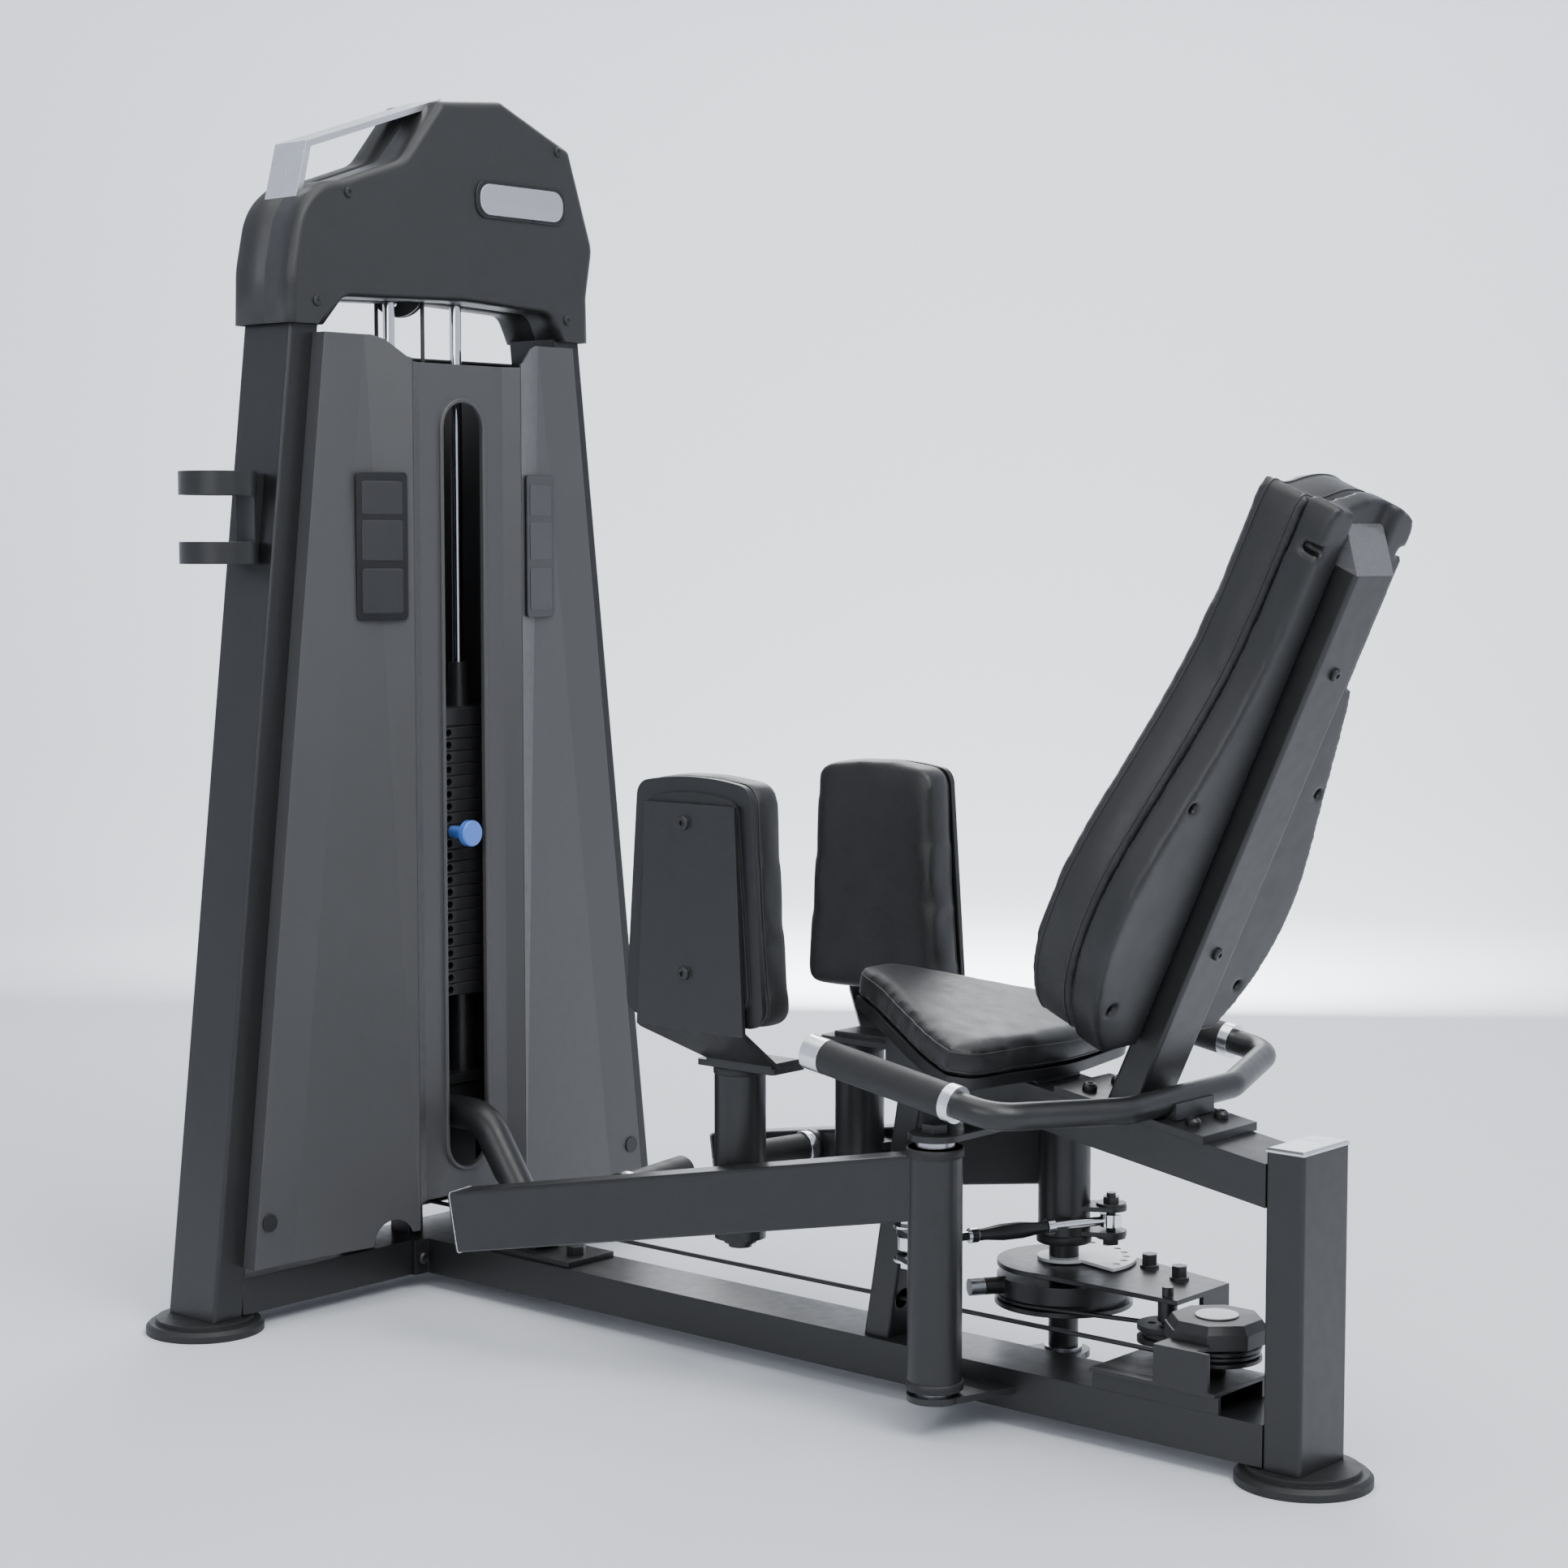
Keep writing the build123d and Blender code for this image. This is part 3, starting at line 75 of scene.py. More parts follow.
# ---- materials ------------------------------------------------------------------------------------------
class Shader:
    """A node material built step by step, in object space so that it follows the part."""

    def __init__(self, name, color, rough, metal=0.0, coat=0.0):
        self.material = bpy.data.materials.new(name)
        self.material.use_nodes = True
        self.tree = self.material.node_tree
        self.shader = self.tree.nodes["Principled BSDF"]
        self.shader.inputs["Metallic"].default_value = metal
        self.shader.inputs["Coat Weight"].default_value = coat
        self.coords = self.node("ShaderNodeTexCoord").outputs["Object"]
        self.color, self.rough = color, rough
        self.normal = None

    def node(self, kind, **settings):
        made = self.tree.nodes.new(kind)
        for key, value in settings.items():
            setattr(made, key, value)
        return made

    def link(self, a, b):
        self.tree.links.new(a, b)

    def scaled(self, scale):
        """Object coordinates stretched by a per-axis scale."""
        mapping = self.node("ShaderNodeMapping")
        mapping.inputs["Scale"].default_value = scale
        self.link(self.coords, mapping.inputs["Vector"])
        return mapping.outputs["Vector"]

    def noise(self, scale, detail=3.0, stretch=(1, 1, 1)):
        noise = self.node("ShaderNodeTexNoise")
        noise.inputs["Scale"].default_value = scale
        noise.inputs["Detail"].default_value = detail
        self.link(self.scaled(stretch), noise.inputs["Vector"])
        return noise.outputs["Fac"]

    def cells(self, scale):
        cells = self.node("ShaderNodeTexVoronoi", feature="DISTANCE_TO_EDGE")
        cells.inputs["Scale"].default_value = scale
        self.link(self.coords, cells.inputs["Vector"])
        return cells.outputs["Distance"]

    def ramp(self, value, low, high, start=0.3, end=0.7):
        """Remap a texture value to a range."""
        remap = self.node("ShaderNodeMapRange")
        for key, number in (("From Min", start), ("From Max", end), ("To Min", low), ("To Max", high)):
            remap.inputs[key].default_value = number
        self.link(value, remap.inputs["Value"])
        return remap.outputs["Result"]

    def tint(self, value, spread):
        """Colour that varies by a fraction of itself with a texture value, with a painted highlight along
        sharp edges.
        """
        mix = self.node("ShaderNodeMix", data_type="RGBA")
        dark = [c * (1 - spread) for c in self.color] + [1]
        light = [c * (1 + spread) for c in self.color] + [1]
        mix.inputs[6].default_value, mix.inputs[7].default_value = dark, light
        self.link(value, mix.inputs[0])
        # the varied colour then gets a painted highlight along its sharp edges
        self.link(self.painted_edge_highlight(mix.outputs[2]), self.shader.inputs["Base Color"])

    def painted_edge_highlight(self, color):
        """Painted highlight: slightly lighter colour along sharp edges, where a rounded normal leaves the
        true one.
        """
        rounded = self.node("ShaderNodeBevel", samples=4)
        rounded.inputs["Radius"].default_value = 0.0022
        facing = self.node("ShaderNodeVectorMath", operation="DOT_PRODUCT")
        self.link(rounded.outputs["Normal"], facing.inputs[0])
        self.link(self.node("ShaderNodeNewGeometry").outputs["True Normal"], facing.inputs[1])
        edge = self.ramp(facing.outputs["Value"], 0.30, 0.0, 0.86, 0.98)
        mix = self.node("ShaderNodeMix", data_type="RGBA")
        # colour of the painted highlight, about twice the base colour
        mix.inputs[7].default_value = [min(1.0, c * 2.0 + 0.02) for c in self.color] + [1]
        self.link(edge, mix.inputs[0])
        self.link(color, mix.inputs[6])
        return mix.outputs[2]

    def vary_rough(self, value, spread):
        low, high = self.rough * (1 - spread), min(1.0, self.rough * (1 + spread))
        self.link(self.ramp(value, low, high), self.shader.inputs["Roughness"])

    def round_edges(self, radius):
        bevel = self.node("ShaderNodeBevel", samples=4)
        bevel.inputs["Radius"].default_value = radius
        self.normal = bevel.outputs["Normal"]

    def bump(self, value, strength, distance):
        bump = self.node("ShaderNodeBump")
        bump.inputs["Strength"].default_value = strength
        bump.inputs["Distance"].default_value = distance
        self.link(value, bump.inputs["Height"])
        if self.normal:
            self.link(self.normal, bump.inputs["Normal"])
        self.normal = bump.outputs["Normal"]

    def done(self):
        if self.normal:
            self.link(self.normal, self.shader.inputs["Normal"])
        return self.material


def powder_coat(name, color, rough, grain=1.0, edge=0.0018):
    """Matte textured paint: fine orange peel over a faint cloudiness."""
    s = Shader(name, color, rough)
    s.tint(s.noise(5.0, 4.0), 0.04)
    s.vary_rough(s.noise(60.0), 0.12)
    s.round_edges(edge)
    s.bump(s.noise(900.0, 2.0), 0.22 * grain, 0.0004)
    s.bump(s.noise(45.0, 1.0), 0.02 * grain, 0.001)
    return s.done()


def moulded_plastic(name, color, rough):
    """Injection moulding with a fine spark-eroded grain."""
    s = Shader(name, color, rough)
    s.tint(s.noise(3.0, 3.0), 0.08)
    s.vary_rough(s.noise(25.0), 0.10)
    s.round_edges(0.002)
    s.bump(s.cells(900.0), 0.12, 0.0003)
    return s.done()


def upholstery(name, color, rough):
    """Black synthetic leather: pebbled grain, fine creases and a soft sheen."""
    s = Shader(name, color, rough)
    s.shader.inputs["Sheen Weight"].default_value = 0.08
    s.tint(s.noise(6.0, 4.0), 0.16)
    s.vary_rough(s.noise(30.0, 4.0), 0.15)
    s.bump(s.ramp(s.cells(420.0), 0.0, 1.0, 0.0, 0.30), 0.26, 0.0005)
    s.bump(s.noise(160.0, 4.0), 0.12, 0.0008)
    s.bump(s.noise(14.0, 3.0), 0.10, 0.003)
    return s.done()


def grip_rubber(name, color, rough):
    """Rubber with a fine moulded pebble and dusty patches."""
    s = Shader(name, color, rough)
    s.tint(s.noise(12.0, 4.0), 0.20)
    s.vary_rough(s.noise(40.0), 0.10)
    s.round_edges(0.001)
    s.bump(s.cells(520.0), 0.45, 0.0006)
    return s.done()


def bare_metal(name, color, rough, stretch, strength):
    """Turned, brushed or polished metal with a directional grain."""
    s = Shader(name, color, rough, metal=1.0)
    grain = s.noise(40.0, 4.0, stretch)
    s.tint(grain, 0.06)
    s.vary_rough(grain, 0.25)
    s.round_edges(0.0008)
    s.bump(grain, strength, 0.0002)
    return s.done()


def gloss(name, color, rough):
    """Glossy moulding or enamel with a clear top layer and tiny ripples."""
    s = Shader(name, color, rough, coat=0.5)
    s.tint(s.noise(15.0, 3.0), 0.06)
    s.vary_rough(s.noise(50.0), 0.20)
    s.round_edges(0.001)
    s.bump(s.noise(200.0, 2.0), 0.05, 0.0003)
    return s.done()


def wire_rope(name, color, rough):
    """Coated cable whose strands show faintly through the sheath."""
    s = Shader(name, color, rough, coat=0.2)
    s.tint(s.noise(80.0, 3.0), 0.15)
    s.vary_rough(s.noise(90.0), 0.15)
    wave = s.node("ShaderNodeTexWave", wave_type="BANDS", bands_direction="DIAGONAL")
    wave.inputs["Scale"].default_value = 260.0
    s.link(s.coords, wave.inputs["Vector"])
    s.bump(wave.outputs["Fac"], 0.35, 0.0004)
    return s.done()


MATERIALS = {
    "frame": powder_coat("frame_coat", (0.0120, 0.0121, 0.0126), 0.36),
    "cover": powder_coat("cover_coat", (0.056, 0.056, 0.058), 0.40, 0.6),
    "shroud": moulded_plastic("shroud_plastic", (0.017, 0.017, 0.0175), 0.46),
    "leather": upholstery("black_leather", (0.0058, 0.0058, 0.0062), 0.42),
    "board": moulded_plastic("board_plastic", (0.0085, 0.0085, 0.009), 0.42),
    "rubber": grip_rubber("black_rubber", (0.009, 0.009, 0.0095), 0.56),
    "chrome": bare_metal("chrome", (0.78, 0.79, 0.82), 0.08, (1, 1, 0.05), 0.02),
    "steel": bare_metal("brushed_steel", (0.42, 0.43, 0.45), 0.30, (1, 1, 0.04), 0.10),
    "aluminium": bare_metal("satin_aluminium", (0.80, 0.81, 0.83), 0.26, (1, 0.05, 1), 0.10),
    "iron": powder_coat("plate_paint", (0.018, 0.018, 0.019), 0.36, 1.2, 0.0008),
    "cable": wire_rope("cable_sheath", (0.012, 0.012, 0.013), 0.40),
    "knob": gloss("blue_knob", (0.075, 0.20, 0.68), 0.22),
    "label": moulded_plastic("blank_label", (0.008, 0.008, 0.009), 0.30),
    "pulley": moulded_plastic("nylon", (0.014, 0.014, 0.015), 0.38),
    "white": gloss("white_enamel", (0.70, 0.70, 0.70), 0.30),
}


def cap_metal():
    """Brushed aluminium on the low cap, dark grey enamel on the high cap of the backrest post."""
    s = Shader("cap_metal", (0.80, 0.81, 0.83), 0.28, metal=1.0)
    grain = s.noise(40.0, 4.0, (0.05, 1, 1))
    split = s.node("ShaderNodeSeparateXYZ")
    s.link(s.coords, split.inputs[0])
    high = s.ramp(split.outputs["Z"], 0.0, 1.0, 0.69, 0.70)
    mix = s.node("ShaderNodeMix", data_type="RGBA")
    mix.inputs[6].default_value, mix.inputs[7].default_value = (0.74, 0.75, 0.77, 1), (0.10, 0.10, 0.105, 1)
    s.link(high, mix.inputs[0])
    s.link(mix.outputs[2], s.shader.inputs["Base Color"])
    s.link(s.ramp(high, 1.0, 0.0, 0.0, 1.0), s.shader.inputs["Metallic"])
    s.vary_rough(grain, 0.25)
    s.round_edges(0.001)
    s.bump(grain, 0.08, 0.0002)
    return s.done()


PIPING = upholstery("piping_leather", (0.008, 0.008, 0.0085), 0.40)
FIELD = moulded_plastic("placard_field", (0.022, 0.022, 0.024), 0.36)
SILVER_PLATE = bare_metal("badge_silver", (0.62, 0.62, 0.64), 0.32, (1, 0.05, 1), 0.08)


def dress_nodes():
    """Give every CAD node the material of its record slot."""
    for entry in frame["record"]["subparts"]:
        node = NODES[entry["node"]]
        for holder in node.material_slots:
            holder.material = MATERIALS[entry["material_slot"]]
    for holder in NODES["post_caps"].material_slots:
        holder.material = cap_metal()


# ---- mesh helpers ---------------------------------------------------------------------------------------
def new_object(name, mesh, material, body):
    piece = bpy.data.objects.new(name, mesh)
    bpy.context.scene.collection.objects.link(piece)
    if material:
        piece.data.materials.clear()
        piece.data.materials.append(material)
    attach(piece, body)
    return piece


def apply_modifiers(piece):
    """Bake the modifier stack into the mesh."""
    graph = bpy.context.evaluated_depsgraph_get()
    baked = bpy.data.meshes.new_from_object(piece.evaluated_get(graph))
    piece.modifiers.clear()
    piece.data = baked


def smooth(piece):
    for face in piece.data.polygons:
        face.use_smooth = True


def lathe(name, start, axis, profile, material, body, steps=40):
    """Turned piece: profile is (distance along axis, radius) pairs from the start point."""
    axis = Vector(axis).normalized()
    turn = axis.to_track_quat("Z", "Y").to_matrix()
    bm = bmesh.new()
    rings = []
    for along, radius in profile:
        ring = []
        for i in range(steps):
            a = 2 * math.pi * i / steps
            local = Vector((radius * math.cos(a), radius * math.sin(a), along))
            ring.append(bm.verts.new(Vector(start) + turn @ local))
        rings.append(ring)
    for low, high in zip(rings, rings[1:]):
        for i in range(steps):
            k = (i + 1) % steps
            bm.faces.new((low[i], low[k], high[k], high[i]))
    bm.faces.new(list(reversed(rings[0])))
    bm.faces.new(rings[-1])
    bmesh.ops.recalc_face_normals(bm, faces=bm.faces)
    mesh = bpy.data.meshes.new(name)
    bm.to_mesh(mesh)
    bm.free()
    piece = new_object(name, mesh, material, body)
    for face in mesh.polygons:
        face.use_smooth = len(face.vertices) == 4
    return piece


# ---- upholstery -----------------------------------------------------------------------------------------
VOXEL = 0.006             # remesh size of the cushions
SHELL_VOXEL = 0.0035      # remesh size of the backrest shell
SIM_FRAMES = 14
TAUT_PASSES = 10          # smoothing passes that take simulation ripples out
SEAM_LIFT = 0.0002        # how far a seam's centre stands out of the leather
PAD_SEAM_DEPTH = 0.043    # from the pad's thigh face


def cushion_from(node, body, swell, rounding, pressure):
    """Padded form inside a CAD cushion: remeshed, rounded, inflated as cloth, and capped in its travel."""
    source = NODES[node]
    piece = new_object(node + "_pad", source.data.copy(), MATERIALS["leather"], body)
    remesh = piece.modifiers.new("remesh", "REMESH")
    remesh.mode, remesh.voxel_size = "VOXEL", VOXEL
    apply_modifiers(piece)
    relax = piece.modifiers.new("relax", "SMOOTH")
    relax.factor, relax.iterations = 0.5, rounding
    apply_modifiers(piece)
    inflate(piece, swell, pressure)
    taut = piece.modifiers.new("taut", "SMOOTH")
    taut.factor, taut.iterations = 0.5, TAUT_PASSES
    apply_modifiers(piece)
    refine = piece.modifiers.new("refine", "SUBSURF")
    refine.levels = refine.render_levels = 1
    apply_modifiers(piece)
    piece.data.materials.clear()
    piece.data.materials.append(MATERIALS["leather"])
    smooth(piece)
    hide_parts(node)
    return piece


def inflate(piece, cap, pressure):
    """Run the cloth simulation with inner pressure and keep each point within cap of where it started."""
    rest = [v.co.copy() for v in piece.data.vertices]
    cloth = piece.modifiers.new("cloth", "CLOTH")
    settings = cloth.settings
    settings.use_pressure, settings.uniform_pressure_force = True, pressure
    settings.effector_weights.gravity = 0.0
    settings.quality = 4
    settings.tension_stiffness = settings.compression_stiffness = 5
    settings.bending_stiffness = 10.0
    cloth.collision_settings.use_collision = False
    scene = bpy.context.scene
    for number in range(1, SIM_FRAMES + 1):
        scene.frame_set(number)
    graph = bpy.context.evaluated_depsgraph_get()
    moved = [v.co.copy() for v in piece.evaluated_get(graph).data.vertices]
    piece.modifiers.clear()
    scene.frame_set(1)
    for vertex, start, end in zip(piece.data.vertices, rest, moved):
        step = end - start
        vertex.co = start + (step.normalized() * min(step.length, cap) if step.length > 1e-9 else step)


def seam(name, piece, point, normal, radius, body, lift):
    """Piping or stitched seam where a plane cuts a padded piece, laid as a continuous cord."""
    bm = bmesh.new()
    bm.from_mesh(piece.data)
    cut = bmesh.ops.bisect_plane(bm, geom=bm.verts[:] + bm.edges[:] + bm.faces[:], dist=1e-5,
                                 plane_co=point, plane_no=normal)["geom_cut"]
    edges = [g for g in cut if isinstance(g, bmesh.types.BMEdge)]
    loops = walk(edges)
    lines = [[v.co.copy() + v.normal * lift for v in loop] for loop in loops if len(loop) > 20]
    bm.free()
    curve = bpy.data.curves.new(name, "CURVE")
    curve.dimensions, curve.bevel_depth, curve.bevel_resolution = "3D", radius, 3
    for line in lines:
        spline = curve.splines.new("NURBS")
        points = line[::3]
        spline.points.add(len(points) - 1)
        for target, co in zip(spline.points, points):
            target.co = (*co, 1.0)
        spline.use_cyclic_u = True
        spline.order_u = 4
    piping = bpy.data.objects.new(name, curve)
    bpy.context.scene.collection.objects.link(piping)
    curve.materials.append(PIPING)
    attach(piping, body)


def walk(edges):
    """Order loose edges into closed loops of vertices."""
    links = {}
    for edge in edges:
        a, b = edge.verts
        links.setdefault(a, []).append(b)
        links.setdefault(b, []).append(a)
    loops, seen = [], set()
    for start in links:
        if start in seen:
            continue
        loop, here = [start], start
        seen.add(start)
        while True:
            ahead = [v for v in links[here] if v not in seen]
            if not ahead:
                break
            here = ahead[0]
            seen.add(here)
            loop.append(here)
        loops.append(loop)
    return loops


def make_thigh_pads():
    """Both thigh pads, with a seam towards the back of their rims."""
    for side, sign in (("left", -1), ("right", 1)):
        body = side + "_swivel"
        node = side + "_pad_cushion"
        pad = cushion_from(node, body, 0.004, 7, 2.0)
        low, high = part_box(node)
        inner = low[1] if sign > 0 else high[1]
        at = (0, inner + sign * PAD_SEAM_DEPTH, 0)
        seam(side + "_pad_back_seam", pad, at, (0, 1, 0), 0.0011, body, SEAM_LIFT)


def make_seat():
    """Seat cushion with piping along its upper and lower edges."""
    seat = cushion_from("seat_cushion", "frame", 0.005, 8, 2.5)
    lean = math.radians(11.31)
    normal = Vector((math.sin(lean), 0, math.cos(lean)))
    base = Vector((0.108, 0, 0.541))
    for label, depth in (("top", 0.008), ("bottom", 0.031)):
        seam(f"seat_{label}_seam", seat, base - normal * depth, normal, 0.0012, "frame", SEAM_LIFT)


BACK_LEAN = math.radians(24.6)
BACK_NORMAL = Vector((math.cos(BACK_LEAN), 0, -math.sin(BACK_LEAN)))
BACK_AT = Vector((0.564, 0, 0.542))


def make_backrest():
    """Back cushion with its seams, and the rounded moulded shell behind it."""
    back = cushion_from("back_cushion", "frame", 0.006, 14, 2.5)
    for label, depth in (("front", 0.094), ("rear", 0.052)):
        at = BACK_AT - BACK_NORMAL * depth
        seam(f"back_{label}_seam", back, at, BACK_NORMAL, 0.0013, "frame", SEAM_LIFT)
    shell = new_object("back_shell_moulding", NODES["back_shell"].data.copy(), MATERIALS["board"], "frame")
    remesh = shell.modifiers.new("remesh", "REMESH")
    remesh.mode, remesh.voxel_size = "VOXEL", SHELL_VOXEL
    apply_modifiers(shell)
    relax = shell.modifiers.new("relax", "SMOOTH")
    relax.factor, relax.iterations = 0.5, 12
    apply_modifiers(shell)
    shell.data.materials.clear()
    shell.data.materials.append(MATERIALS["board"])
    smooth(shell)
    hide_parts("back_shell")


# ---- tower head -----------------------------------------------------------------------------------------
HEAD_SEAM_X = -0.735      # where the two shells of the head meet
HEAD_ROUND = 0.014
HEAD_WALL = 0.0035


def head_skin(node, outward):
    """Rounded moulded half of the tower head, rebuilt from the outline of the CAD shell's flat face."""
    low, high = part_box(node)
    face_x = high[0] if outward > 0 else low[0]
    bm = bmesh.new()
    bm.from_mesh(NODES[node].data)
    bmesh.ops.remove_doubles(bm, verts=bm.verts[:], dist=1e-5)
    bmesh.ops.dissolve_limit(bm, angle_limit=math.radians(0.5), verts=bm.verts[:], edges=bm.edges[:])
    flat = [f for f in bm.faces if abs(f.normal.x - outward) < 0.01
            and abs(f.calc_center_median().x - face_x) < 1e-4]
    face = max(flat, key=lambda f: f.calc_area())
    outline = [v.co.copy() for v in face.verts]
    bm.free()
    bm = bmesh.new()
    front = [bm.verts.new((face_x, co.y, co.z)) for co in outline]
    back = [bm.verts.new((HEAD_SEAM_X, co.y, co.z)) for co in outline]
    bm.faces.new(front)
    count = len(front)
    foot_z = low[2] + 0.002  # the legs of the head are open below this height
    for i in range(count):
        k = (i + 1) % count
        if front[i].co.z < foot_z and front[k].co.z < foot_z:
            continue
        bm.faces.new((front[i], front[k], back[k], back[i]))
    bmesh.ops.recalc_face_normals(bm, faces=bm.faces[:])
    rim = [e for e in bm.edges
           if len(e.link_faces) == 2 and all(abs(v.co.x - face_x) < 1e-6 for v in e.verts)]
    bmesh.ops.bevel(bm, geom=rim, offset=HEAD_ROUND, segments=6, profile=0.5, affect="EDGES",
                    clamp_overlap=True)
    if sum(f.normal.x * f.calc_area() for f in bm.faces) * outward < 0:
        bmesh.ops.reverse_faces(bm, faces=bm.faces[:])
    mesh = bpy.data.meshes.new(node + "_skin")
    bm.to_mesh(mesh)
    bm.free()
    piece = new_object(node + "_skin", mesh, MATERIALS["shroud"], "frame")
    wall = piece.modifiers.new("wall", "SOLIDIFY")
    wall.thickness, wall.offset = HEAD_WALL, -1.0
    apply_modifiers(piece)
    for polygon in piece.data.polygons:
        polygon.use_smooth = abs(polygon.normal.x) < 0.999
    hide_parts(node)


# ---- trim -----------------------------------------------------------------------------------------------
def make_arm_trim():
    """Aluminium and rubber trim that rides on the leg arms: peg collars, bearing rings and post rings."""
    for side, sign in (("left", -1), ("right", 1)):
        body = side + "_leg"
        px, py = 0.310, sign * 0.133
        top = 0.3526
        base = 0.056 if sign < 0 else 0.190
        for label, z in (("upper", top - 0.012), ("lower", base)):
            ring = lathe(f"{side}_pivot_{label}_ring", (px, py, z), (0, 0, 1),
                         [(0.0, 0.0334), (0.001, 0.0350), (0.011, 0.0350), (0.012, 0.0334)],
                         MATERIALS["rubber"], body)
        low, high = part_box(side + "_peg_grip")
        grip = [(low[i] + high[i]) / 2 for i in range(3)]
        splay = math.radians(10.36)
        inward = Vector((-math.sin(splay), -sign * math.cos(splay), 0))
        root = Vector(grip) - inward * 0.0635
        collar = lathe(f"{side}_peg_collar", root - inward * 0.014, inward,
                       [(0.0, 0.0226), (0.001, 0.0232), (0.012, 0.0232), (0.0135, 0.0226)],
                       MATERIALS["aluminium"], body)
        post = (-0.0165, sign * 0.1197)
        cap = lathe(f"{side}_post_ring", (post[0], post[1], 0.402), (0, 0, 1),
                    [(0.0, 0.0331), (0.001, 0.0342), (0.009, 0.0342), (0.010, 0.0331)],
                    MATERIALS["rubber"], body)


def slab(name, centre, right, up, size, depth, corner, material, body):
    """Flat plate with rounded corners; right and up span its face and it stands depth out of the surface."""
    right, up = Vector(right).normalized(), Vector(up).normalized()
    outward = right.cross(up)
    half_w, half_h = size[0] / 2, size[1] / 2
    outline = []
    for quadrant, (sx, sy) in enumerate(((1, 1), (-1, 1), (-1, -1), (1, -1))):
        for step in range(9):
            a = math.radians(90 * quadrant + 11.25 * step)
            outline.append((sx * (half_w - corner) + corner * math.cos(a),
                            sy * (half_h - corner) + corner * math.sin(a)))
    bm = bmesh.new()
    layers = []
    for inset, out in ((0.0, 0.0), (0.0, depth * 0.6), (depth * 0.4, depth)):
        ring = []
        for x, y in outline:
            scale_x, scale_y = 1 - inset / half_w, 1 - inset / half_h
            ring.append(bm.verts.new(Vector(centre) + right * x * scale_x + up * y * scale_y + outward * out))
        layers.append(ring)
    for low, high in zip(layers, layers[1:]):
        for i in range(len(low)):
            k = (i + 1) % len(low)
            bm.faces.new((low[i], low[k], high[k], high[i]))
    bm.faces.new(list(reversed(layers[0])))
    bm.faces.new(layers[-1])
    mesh = bpy.data.meshes.new(name)
    bm.to_mesh(mesh)
    bm.free()
    piece = new_object(name, mesh, material, body)
    return piece


def make_plates():
    """Blank badge on the tower head, blank fields on the two placards, white disc on the pulley cover."""
    slab("badge_face", (-0.6788, 0.146, 1.569), (0, 1, 0), (0, 0, 1), (0.166, 0.044), 0.0009, 0.0195,
         SILVER_PLATE, "frame")
    for sign in (1, -1):
        normal = Vector((0.098, 0.028 * sign, 0)).normalized()
        along = Vector((-normal.y, normal.x, 0))
        centre = Vector((-0.6552, 0.152 * sign, 1.071)) + normal * 0.0033
        for index, (dz, height) in enumerate(((0.067, 0.046), (0.008, 0.056), (-0.062, 0.062))):
            name = f"placard_field_{'right' if sign > 0 else 'left'}_{index}"
            at = centre + Vector((0, 0, dz))
            slab(name, at, along, (0, 0, 1), (0.062, height), 0.0006, 0.004, FIELD, "frame")
    disc = [(0.0, 0.026), (0.0006, 0.026), (0.0012, 0.0252)]
    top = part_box("big_pulley_cover")[1].z
    mark = lathe("pulley_cover_disc", (0.603, 0.034, top - 0.0002), (0, 0, 1), disc,
                 MATERIALS["white"], "frame")


def make_arm_ends():
    """Thin bright frames round the end caps of the leg arms."""
    splay, drop = math.radians(10.36), math.radians(10.1)
    for side, sign in (("left", -1), ("right", 1)):
        level = math.cos(drop)
        ahead = Vector((-math.cos(splay) * level, sign * math.sin(splay) * level, -math.sin(drop)))
        inward = Vector((-math.sin(splay), -sign * math.cos(splay), 0))
        up = ahead.cross(inward) * (1 if sign > 0 else -1)
        start = Vector((0.310, sign * 0.133, 0.3068)) + ahead * 0.7135
        right = inward if inward.cross(up).dot(ahead) > 0 else -inward
        slab(side + "_arm_end_rim", start, right, up, (0.0518, 0.0818), 0.0016, 0.005,
             MATERIALS["aluminium"], side + "_leg")


def make_turnbuckle():
    """Black sleeve of the tie rod, tapered towards both lock nuts."""
    angle = math.radians(66.7)
    crank = math.radians(25.0)
    right = Vector((0.310 + 0.060 * math.cos(crank), 0.133 + 0.060 * math.sin(crank), 0.221))
    along = Vector((-math.cos(angle), -math.sin(angle), 0))
    shape = [(0.0, 0.0072), (0.002, 0.0078), (0.012, 0.0078), (0.036, 0.0108), (0.064, 0.0108),
             (0.088, 0.0078), (0.098, 0.0078), (0.100, 0.0072)]
    sleeve = lathe("turnbuckle_sleeve", right + along * 0.095, along, shape, MATERIALS["pulley"], "tie", 6)
    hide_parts("turnbuckle")


def make_lift_cable():
    """Cable over the stack, turned as a plain tube over the height of the CAD cable."""
    low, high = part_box("lift_cable")
    x, y = (low[0] + high[0]) / 2, (low[1] + high[1]) / 2
    radius = (high[0] - low[0]) / 2
    rings = 60
    length = high[2] - low[2]
    profile = [(length * i / rings, radius) for i in range(rings + 1)]
    cable = lathe("lift_cable_run", (x, y, low[2]), (0, 0, 1), profile, MATERIALS["cable"], "frame", 16)
    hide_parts("lift_cable")
    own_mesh(cable)


# ---- studio ---------------------------------------------------------------------------------------------
def area_light(name, at, target, size, watts, color=(1, 1, 1)):
    data = bpy.data.lights.new(name, "AREA")
    data.shape, data.size, data.size_y = "RECTANGLE", size[0], size[1]
    data.energy, data.color = watts, color
    light = bpy.data.objects.new(name, data)
    light.location = at
    light.rotation_euler = (Vector(target) - Vector(at)).to_track_quat("-Z", "Y").to_euler()
    bpy.context.scene.collection.objects.link(light)


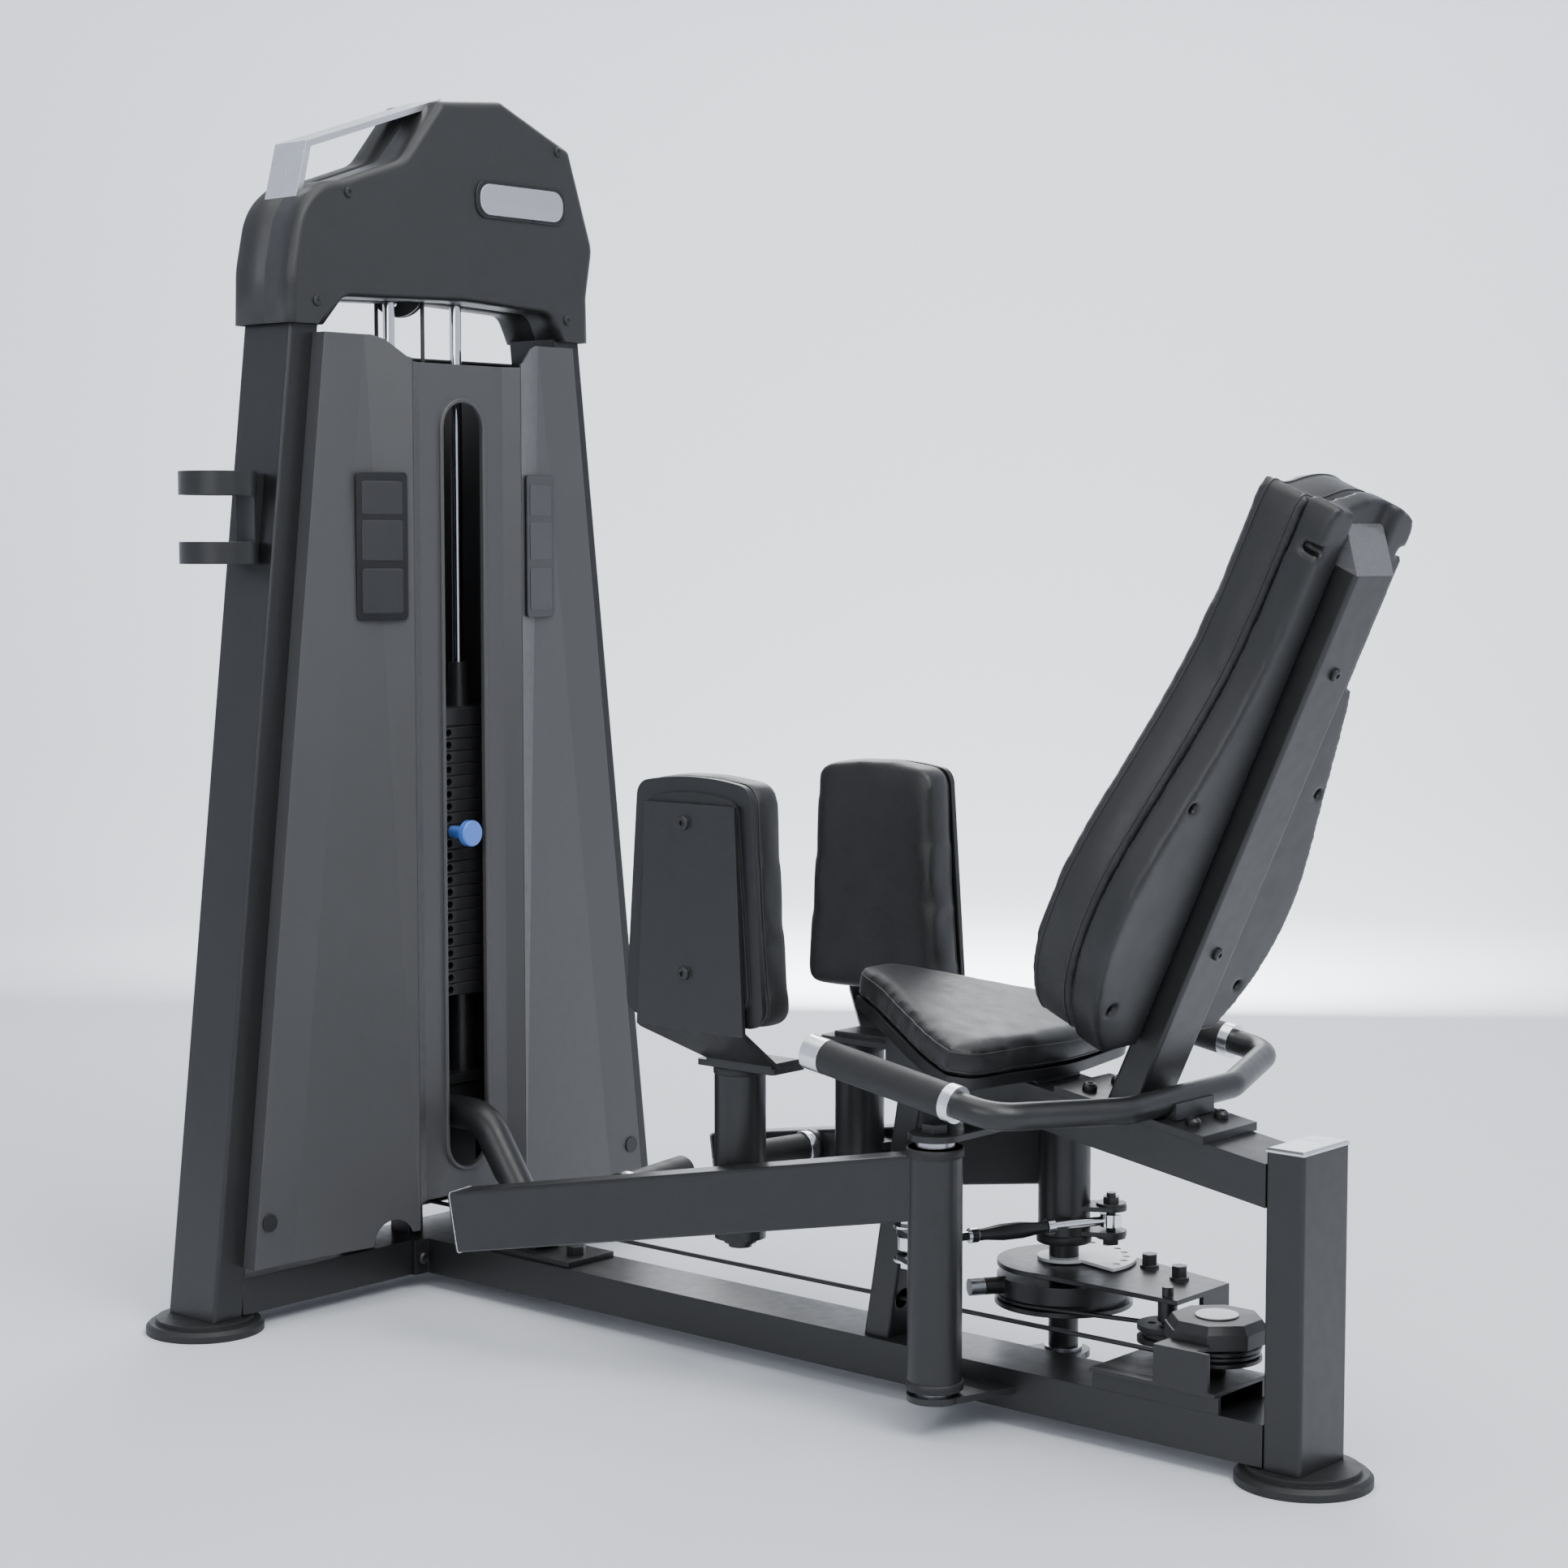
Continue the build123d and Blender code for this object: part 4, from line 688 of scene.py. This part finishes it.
def backdrop():
    """Seamless sweep: a floor that curves up into a tall wall on every side."""
    bm = bmesh.new()
    profile = [(0.0, 0.0), (5.0, 0.0)]
    for step in range(1, 13):
        a = math.radians(7.5 * step)
        profile.append((5.0 + 3.0 * math.sin(a), 3.0 * (1 - math.cos(a))))
    profile.append((8.0, 9.0))
    turns = 64
    centre = bm.verts.new((0, 0, 0))
    rings = []
    for radius, height in profile[1:]:
        angles = [2 * math.pi * i / turns for i in range(turns)]
        rings.append([bm.verts.new((radius * math.cos(a), radius * math.sin(a), height)) for a in angles])
    for i in range(turns):
        bm.faces.new((centre, rings[0][(i + 1) % turns], rings[0][i]))
    for low, high in zip(rings, rings[1:]):
        for i in range(turns):
            k = (i + 1) % turns
            bm.faces.new((low[i], low[k], high[k], high[i]))
    for face in bm.faces:
        face.smooth = True
        face.normal_flip()
    mesh = bpy.data.meshes.new("backdrop")
    bm.to_mesh(mesh)
    bm.free()
    sweep = bpy.data.objects.new("backdrop", mesh)
    bpy.context.scene.collection.objects.link(sweep)
    return sweep


def make_studio():
    """Pale seamless backdrop and soft lights."""
    sweep = backdrop()
    s = Shader("studio_paper", (0.70, 0.72, 0.76), 0.85)
    s.tint(s.noise(0.8, 2.0), 0.01)
    s.vary_rough(s.noise(3.0), 0.05)
    sweep.data.materials.append(s.done())
    world = bpy.data.worlds.new("studio")
    world.use_nodes = True
    background = world.node_tree.nodes["Background"]
    background.inputs["Color"].default_value = (0.80, 0.83, 0.88, 1)
    background.inputs["Strength"].default_value = 1.0
    bpy.context.scene.world = world
    area_light("key", (3.0, -0.6, 3.6), (0, 0, 0.7), (2.4, 2.4), 130)
    area_light("front", (1.2, -4.2, 2.4), (0, 0, 0.7), (3.0, 2.0), 60)
    area_light("rim", (-2.6, 3.2, 3.4), (0, 0, 0.9), (2.5, 2.5), 130)
    area_light("top", (0.0, 0.0, 4.4), (0, 0, 0), (3.5, 3.5), 90)
    area_light("wall_glow", (-1.6, 2.4, 1.2), (-4.6, 6.4, 1.6), (1.6, 1.6), 420)


# ---- build ----------------------------------------------------------------------------------------------
make_camera()
make_studio()
dress_nodes()
head_skin("shroud_front", 1)
head_skin("shroud_rear", -1)
make_thigh_pads()
make_seat()
make_backrest()
make_arm_trim()
make_arm_ends()
make_plates()
make_turnbuckle()
make_lift_cable()
